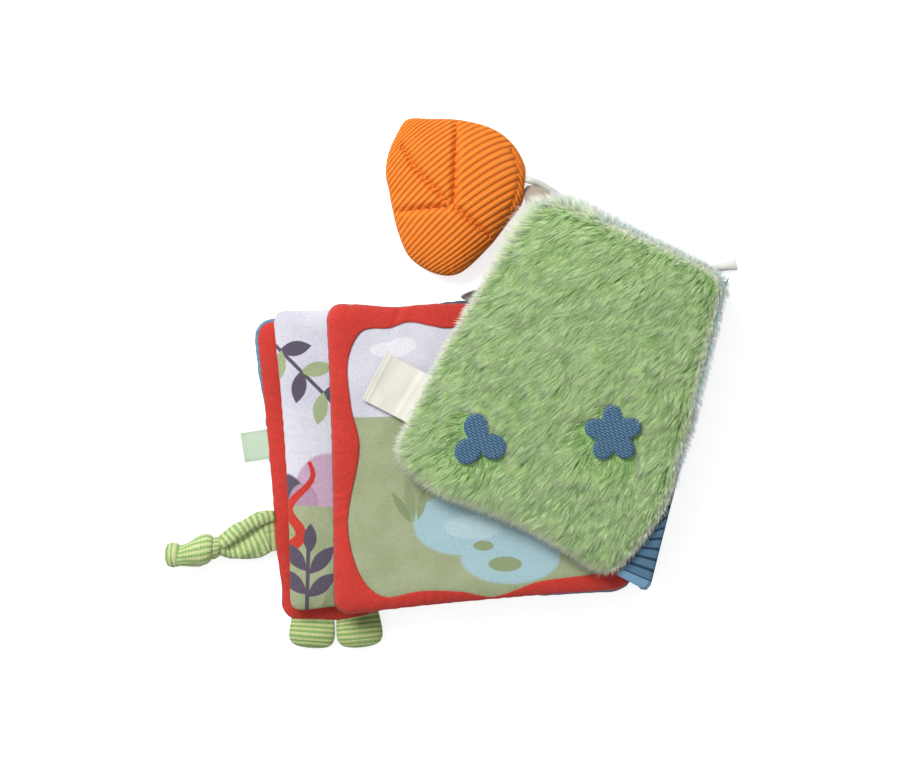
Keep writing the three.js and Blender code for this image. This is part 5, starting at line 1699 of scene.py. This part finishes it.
FOOT_THICK = 11
FOOT_STEPS = [0, 0.14, 0.36, 0.6, 0.74, 0.86, 0.93, 0.975, 1]
FOOT_WIDTHS = [0.93, 0.96, 1, 1.01, 0.98, 0.88, 0.74, 0.5, 0.2]
FOOT_HEIGHTS = [0.1, 0.3, 0.86, 1, 0.94, 0.78, 0.58, 0.36, 0.12]
FOOT_END = -159.3  # both feet end on one level
# name, share of the lower side, width, how far its top lies to the right and up, how far it is
# turned and leans
for name, t, wide, aside, up, turn, slide in (
        ("left_foot", 0.08, 27.4, 1.5, 2.0, -5, -1.6), ("right_foot", 0.22, 27.6, -0.8, 2.4, 6, -2.2)):
    seam_at = on_side(BACK, 0, t, SEAM_ROOM)
    start = seam_at + back_bend(seam_at[None])[0] + np.array([aside, up]) + SHIFT
    long_foot = (start[1] - SHIFT[1] - FOOT_END) / math.cos(math.radians(BACK["turn"]))
    way_down = heading(BACK["turn"] + turn - 90)
    heights = [h * FOOT_THICK / 2 for h in FOOT_HEIGHTS]
    line = []
    for k, f in enumerate(FOOT_STEPS):
        level = max(heights[k] + FIT / 2, back_seam + (FOOT_THICK / 2 - back_seam) * min(1, f * 2.4))
        line.append((*(start + way_down * f * long_foot + np.array([slide * max(0, f - 0.2), 0])), level))

    def gathers(u, v):
        """Small folds that run from the seam and die out towards the toe."""
        return 1 - 0.10 * np.maximum(0, np.sin(u * 2 * np.pi * 9 + 1.2)) ** 2 * np.clip(1 - v * 2.2, 0, 1)

    foot_piece, _, _ = tube(name + "_jersey", line, [w * wide / 2 for w in FOOT_WIDTHS], heights, 96, 60,
                            foot_jersey_shaded,
                            gathers, (2.4 * wide, long_foot * 1.15))
    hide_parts(name)
    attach(foot_piece, name)

TAIL_PATH = [
    (-105.3, -88.8), (-111, -90.2), (-118.5, -92.6), (-127.5, -95.6), (-135.2, -97.5), (-139.5, -98.6),
    (-147, -100.6),
    (-154.5, -102.2), (-161.5, -103.0), (-163.6, -103.1), (-166.8, -103.2), (-169.8, -103.2),
    (-171.6, -103.2)]
TAIL_WIDTHS = [12.0, 12.6, 12.4, 10.8, 8.0, 5.2, 3.2, 3.2, 4.6, 6.9, 7.6, 6.8, 3.6]
TAIL_HEIGHTS = [0.9, 3.6, 4.8, 5.2, 5.0, 4.2, 3.2, 3.2, 4.4, 5.8, 6.4, 5.6, 2.8]
NECK_WIDE, KNOT_THICK, KNOT_ROOM = 3.2, 5.4, 0.4
knot_high = NECK_WIDE + KNOT_ROOM + FIT + KNOT_THICK + FIT / 2
tail_high = [back_seam, 5.0, 6.0, 7.0, 8.0] + [knot_high] * 5 + [8.6, 8.2, 8.0]
tail_root = on_side(BACK, 3, 0.702, SEAM_ROOM)
tail_out = heading(180 + BACK["lean"]) * math.dist(TAIL_PATH[1], TAIL_PATH[0])
tail_line = [off(p, h) for p, h in zip([tail_root, tail_root + tail_out] + TAIL_PATH[2:], tail_high)]


def tail_creases(u, v):
    """The hollow under the fold that runs along the top into the knot, a short slit at the book and
    small creases."""
    line = 0.33 - 0.17 * v
    deep = 0.42 * np.clip((v - 0.02) / 0.14, 0, 1) * np.clip((0.50 - v) / 0.06, 0, 1)
    hollow = deep * np.exp(-((u - line) / np.where(u < line, 0.095, 0.05)) ** 2)
    short = 0.3 * np.exp(-((u - 0.235) / 0.012) ** 2) * np.clip(1 - v / 0.16, 0, 1)
    soft_folds = (0.05 * np.sin(u * 2 * np.pi * 5 + v * 21) * np.clip(v * 6, 0, 1)
                  * np.clip((0.5 - v) * 8, 0, 1))
    into_knot = 0.12 * np.maximum(0, np.sin(u * 2 * np.pi * 7)) * np.exp(-((v - 0.42) / 0.09) ** 2)
    return 1 - hollow - soft_folds - (into_knot + short) * np.clip((1 - v) * 6, 0, 1)


tail, _, _ = tube("tail_jersey", tail_line, TAIL_WIDTHS, TAIL_HEIGHTS, 120, 150, tail_jersey, tail_creases)
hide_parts("tail_tube")
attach(tail, "tail")
FOLD_PATH = [(-106.2, -79.6), (-112.5, -81.2), (-119.7, -84.1), (-126.9, -88.5), (-132.3, -93.2),
             (-137.0, -96.6), (-140.5, -98.4)]
FOLD_HIGH = [6.6, 8.8, 10.4, 11.6, 12.4, 12.8, 12.6]
FOLD_WIDTHS = [3.4, 3.7, 4.0, 4.4, 3.5, 2.6, 1.6]
FOLD_THICK = [1.4, 2.0, 2.4, 2.6, 2.4, 2.0, 1.2]
fold, _, _ = tube("tail_fold_jersey", [off(p, h) for p, h in zip(FOLD_PATH, FOLD_HIGH)], FOLD_WIDTHS,
                  FOLD_THICK, 64, 90,
                  tail_jersey, lambda u, v: 1 - 0.06 * np.sin(u * 2 * np.pi * 3 + v * 9) ** 2)
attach(fold, "tail")
knot_from, knot_to = np.array(off(TAIL_PATH[5], knot_high)), np.array(off(TAIL_PATH[8], knot_high))
# name, node, start and end along the neck, swell, slant, crease, outline of the wound cloth
BAND = [(0.02, 0), (0, 0.5), (0.05, 0.84), (0.16, 1.04), (0.34, 1.06), (0.58, 0.84), (0.82, 0.56),
        (1, 0.40), (0.99, 0), (0.02, 0)]
TURN = [(0.04, 0), (0, 0.5), (0.2, 0.86), (0.5, 1), (0.8, 0.86), (1, 0.5), (0.96, 0), (0.04, 0)]
for name, node, a, b, swollen, slant, crease, shape in (
        ("tail_knot_jersey", "tail_knot", 0.14, 1.13, 1.0, 1.6, 0.30, BAND),
        ("tail_knot_turn_jersey", "tail_knot_turn", -0.06, 0.26, 0.5, 1.6, 0.1, TURN)):
    made = wrap(name, knot_from + (knot_to - knot_from) * a, knot_from + (knot_to - knot_from) * b,
                NECK_WIDE + KNOT_ROOM,
                KNOT_THICK * swollen, slant, crease, knot_jersey, (50, 34), shape=shape)
    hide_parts(node)
    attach(made, "tail")
print("tail and feet made")

# %% [markdown]
# The toy is a stuffed leaf in orange corduroy. Quilting lines press veins into its face, and the
# ribs run slantwise over it. The grid is fine enough for the ribs to be real relief.

# %% Leaf toy
TOY_VEINS = [
    [(-28.6, 141.8), (-21.1, 129.4), (-12.1, 119.7), (-1.7, 108.7), (6.5, 103.2), (18.9, 92.2), (25, 87)],
    [(2.4, 108.7), (3.1, 129.4), (3.8, 145.9), (3.8, 157.6)],
    [(-1.7, 106.0), (-16.9, 104.6), (-32.1, 103.2)]]
VEIN_DEEP, VEIN_WIDE, TOY_ROLL = 3.4, 2.3, 13
toy_marks = [int(np.argmin(np.linalg.norm(toy_line - np.array(p), axis=1)))
             for p in ((-18, 71), (-37.2, 138.0), (27.2, 152.6), (34.9, 96.4))]
ccw = np.sum(toy_line[:, 0] * np.roll(toy_line[:, 1], -1) - toy_line[:, 1]
             * np.roll(toy_line[:, 0], -1)) > 0
if not ccw:
    toy_line = toy_line[::-1].copy()
    toy_marks = [len(toy_line) - 1 - m for m in toy_marks]
toy_edge = Edge(toy_line, sorted(toy_marks))


def vein_away(place):
    near = np.full(len(place), 1e9)
    for line in TOY_VEINS:
        for a, b in zip(line[:-1], line[1:]):
            near = np.minimum(near, off_segment(place, np.array(a) + SHIFT, np.array(b) + SHIFT))
    return near


SIDE_SEAM = (np.array([(36, 141), (39.5, 133.8), (41.4, 126.6), (40.9, 118.8), (38.6, 111), (35.6, 104)])
             + SHIFT)


def past_seam(place):
    """How far a place lies past the side seam, near the right edge, in mm."""
    at = np.interp(place[:, 1], SIDE_SEAM[::-1, 1], SIDE_SEAM[::-1, 0], left=200, right=200)
    return place[:, 0] - at


def panel(place):
    """Which part between the quilted veins a place is in: left, upper, right or lower."""
    at = place - SHIFT
    long_vein, short_vein, left_vein = [np.array(line) for line in TOY_VEINS]
    above = at[:, 1] > np.interp(at[:, 0], long_vein[:, 0], long_vein[:, 1])
    above |= (at[:, 0] < long_vein[0, 0]) & (at[:, 1] > long_vein[0, 1])
    beyond = at[:, 0] > np.interp(at[:, 1], short_vein[:, 0] * 0 + short_vein[:, 1], short_vein[:, 0])
    over_left = ((at[:, 0] < left_vein[0, 0])
                 & (at[:, 1] > np.interp(at[:, 0], left_vein[::-1, 0], left_vein[::-1, 1])))
    return np.select([above & beyond, above, over_left], [2, 1, 0], 3)


PANEL_TURN = np.array([44, 40, 47, 47])
PANEL_BEND = np.array([0.001, 0.002, 0.0045, 0.0022])
PANEL_SHIFT = np.array([0.0, 1.3, 2.4, 0.8])


def toy_map(place):
    """Places along and across the ribs. The ribs crowd towards the edge, where the cloth bends over
    the stuffing, and each quilted panel turns them its own way."""
    off_centre = place - toy_edge.centre
    share = np.linalg.norm(off_centre, axis=1) / 46
    full = off_centre * (1 + 0.20 * share ** 4)[:, None]
    which = panel(place)
    turn = np.radians(PANEL_TURN[which])
    c, s = np.cos(turn), np.sin(turn)
    side = past_seam(place) > 0
    along = np.where(side, full[:, 0] * 0.5 - full[:, 1] * 0.87, full[:, 0] * c + full[:, 1] * s)
    bend = PANEL_BEND[which] * (full[:, 0] + 12) ** 2 + PANEL_SHIFT[which]
    across = np.where(side, full[:, 1] * 0.5 + full[:, 0] * 0.87, full[:, 1] * c - full[:, 0] * s + bend)
    return along, across


def orange_ribs(place, d):
    across = toy_map(place)[1]
    wave = 0.5 + 0.5 * np.sin(across * 2 * np.pi / ORANGE_RIB)
    return 0.85 * np.sqrt(wave) * np.clip(d / 1.2, 0.15, 1)


def toy_lift(place, d, run):
    rim = toy_edge.at(run)
    share = (np.linalg.norm(place - toy_edge.centre, axis=1)
             / np.maximum(np.linalg.norm(rim - toy_edge.centre, axis=1), 1e-9))
    dome = (1 - np.clip(share, 0, 1) ** 2.6) ** 0.62
    away = vein_away(place)
    groove = VEIN_DEEP * np.exp(-((away / VEIN_WIDE) ** 2)) * np.minimum(1, dome * 1.3)
    stitch = 0.9 * np.exp(-((away / 0.9) ** 2)) * np.abs(np.sin((place[:, 0] * 0.7 - place[:, 1]) * 1.1))
    seam_pull = 1.1 * np.exp(-((past_seam(place) / 1.3) ** 2))
    puff = 0.35 * (ripple(run, 3.3) - 0.2) * np.exp(-((d - 3) / 5) ** 2)
    return (TOY_BELOW + FIT / 2 + TOY_ABOVE * dome - groove - stitch * np.minimum(1, dome * 2) - puff
            + orange_ribs(place, d) - seam_pull * np.minimum(1, dome * 2))


toy_face = sewn_skin("leaf_toy_corduroy_face", toy_edge, toy_lift, orange_corduroy, cells=200, roll=9,
                     lay=toy_map)
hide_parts("leaf_toy_face")
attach(toy_face, "leaf_toy")
toy_back = sewn_skin("leaf_toy_corduroy_back", toy_edge,
                     lambda place, d, run: leaf_lift(TOY_BELOW, TOY_BELOW, -1, 3.3, soft=0,
                                                     roll=TOY_ROLL)(place, d, run)
                     - orange_ribs(place, d) * np.clip(1 - d / 14, 0, 1),
                     orange_corduroy, cells=120, way=-1, roll=TOY_ROLL, lay=toy_map)
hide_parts("leaf_toy_back")
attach(toy_back, "leaf_toy")
print("toy made")

# %% [markdown]
# What is inside doesn't show while the book is whole, but the frame keeps it: wadding, a film that
# crinkles, a squeaker and a rattle with its bead. These keep their CAD shapes and get finishes.

# %% Inner pieces
def moulded(name, colour, roughness):
    finish = Finish(name, roughness)
    finish.colour(finish.mix(finish.noise(60, 3).smooth(0.35, 0.7) * 0.2, colour,
                             tuple(k * 0.85 for k in colour)))
    finish.bump(finish.noise(500, 3), 0.08, 0.1)
    return finish.material


def soft_fill():
    finish = Finish("loose wadding", 0.97, 0.4)
    fibres = finish.noise(350, 5, 0.75)
    finish.colour(finish.mix(fibres, srgb("FBFBF8"), srgb("DEDED8")))
    finish.bump(fibres, 0.7, 0.8)
    return finish.material


film = Finish("crinkle film", 0.25)
crinkle = film.noise(180, 5, 0.7)
film.colour(film.mix(crinkle.smooth(0.3, 0.7), srgb("E2E6EA"), srgb("BFC6CE")))
film.bump(crinkle, 0.9, 1.2)
wad = soft_fill()
inner = {
    "back_cover_wadding": wad, "middle_page_wadding": wad, "front_page_wadding": wad,
    "leaf_toy_filling": wad, "crinkle_film": film.material,
    "squeaker": moulded("squeaker plastic", srgb("F2F1EA"), 0.4),
    "rattle_cup_high": moulded("rattle plastic", srgb("E9E4D6"), 0.35),
    "rattle_bead": moulded("bead plastic", srgb("4F7596"), 0.25)}
inner["rattle_cup_low"] = inner["rattle_cup_high"]
for node, material in inner.items():
    mesh = frame["nodes"][node].data
    mesh.materials.clear()
    mesh.materials.append(material)
fill_edge = Edge(cover_points, cover_sides, -CLOTH - FIT)
FILL_ABOVE = COVER_ABOVE - PILE - CLOTH - FIT
FILL_THICK = FILL_ABOVE + COVER_BELOW - CLOTH - FIT
cover_fill = sewn_skin("plush_cover_filling", fill_edge,
                       lambda place, d, run: cover_seam + droop(place) + FILL_ABOVE * rise(d, COVER_ROLL),
                       wad, cells=60, cloth=FILL_THICK, roll=COVER_ROLL)
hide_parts("cover_wadding")
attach(cover_fill, "plush_cover")
print("finishes on", len(inner), "inner nodes")

# %% [markdown]
# The floor is white for the camera, and keeps the soft shadow under the book. One large lamp at
# the upper left gives the folds their shape, and an even white world fills the rest.

# %% Floor and light
FLOOR_HALF, FLOOR_LOW, FLOOR_SHADE, FLOOR_GLOW, WORLD_LIGHT = 4, -0.0004, 0.6, 0.74, 0.55
KEY_AT, KEY_SIZE, KEY_POWER = (-0.95, 1.15, 1.6), 1.1, 50
floor_bm = grid(1, 1)
for v in floor_bm.verts:
    v.co = Vector((v.co.x * FLOOR_HALF, v.co.y * FLOOR_HALF, FLOOR_LOW))
floor_finish = bpy.data.materials.new("white floor")
floor_finish.use_nodes = True
nodes, links = floor_finish.node_tree.nodes, floor_finish.node_tree.links
nodes.clear()
out = nodes.new("ShaderNodeOutputMaterial")
diffuse = nodes.new("ShaderNodeBsdfDiffuse")
diffuse.inputs["Color"].default_value = (FLOOR_SHADE, FLOOR_SHADE, FLOOR_SHADE, 1)
glow = nodes.new("ShaderNodeEmission")
glow.inputs["Strength"].default_value = FLOOR_GLOW
nothing = nodes.new("ShaderNodeEmission")
nothing.inputs["Strength"].default_value = 0.0
path_node = nodes.new("ShaderNodeLightPath")
seen = None
for ray in ("Is Camera Ray", "Is Glossy Ray", "Is Transmission Ray"):
    if seen is None:
        seen = path_node.outputs[ray]
        continue
    either = nodes.new("ShaderNodeMath")
    either.operation = "MAXIMUM"
    links.new(seen, either.inputs[0])
    links.new(path_node.outputs[ray], either.inputs[1])
    seen = either.outputs[0]
pick = nodes.new("ShaderNodeMixShader")
both = nodes.new("ShaderNodeAddShader")
links.new(seen, pick.inputs[0])
links.new(nothing.outputs[0], pick.inputs[1])
links.new(glow.outputs[0], pick.inputs[2])
links.new(diffuse.outputs[0], both.inputs[0])
links.new(pick.outputs[0], both.inputs[1])
links.new(both.outputs[0], out.inputs["Surface"])
floor = finish_piece("floor", floor_bm, floor_finish, smooth=False)

world = bpy.data.worlds.new("studio")
bpy.context.scene.world = world
world.use_nodes = True
background = next(n for n in world.node_tree.nodes if n.type == "BACKGROUND")
background.inputs["Color"].default_value = (1, 1, 1, 1)
background.inputs["Strength"].default_value = WORLD_LIGHT
key = bpy.data.lights.new("key", "AREA")
key.shape, key.size, key.energy = "DISK", KEY_SIZE, KEY_POWER
key_lamp = bpy.data.objects.new("key", key)
key_lamp.location = KEY_AT
key_lamp.rotation_euler = (Vector((0, 0, 0)) - key_lamp.location).to_track_quat("-Z", "Y").to_euler()
bpy.context.scene.collection.objects.link(key_lamp)
print("lights set")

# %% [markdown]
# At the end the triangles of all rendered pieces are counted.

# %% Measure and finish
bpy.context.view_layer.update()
all_triangles = sum(len(face.vertices) - 2 for piece in bpy.data.objects if piece.type == "MESH"
                    and not piece.hide_render
                    for face in piece.data.polygons)
print("triangles in all", all_triangles)
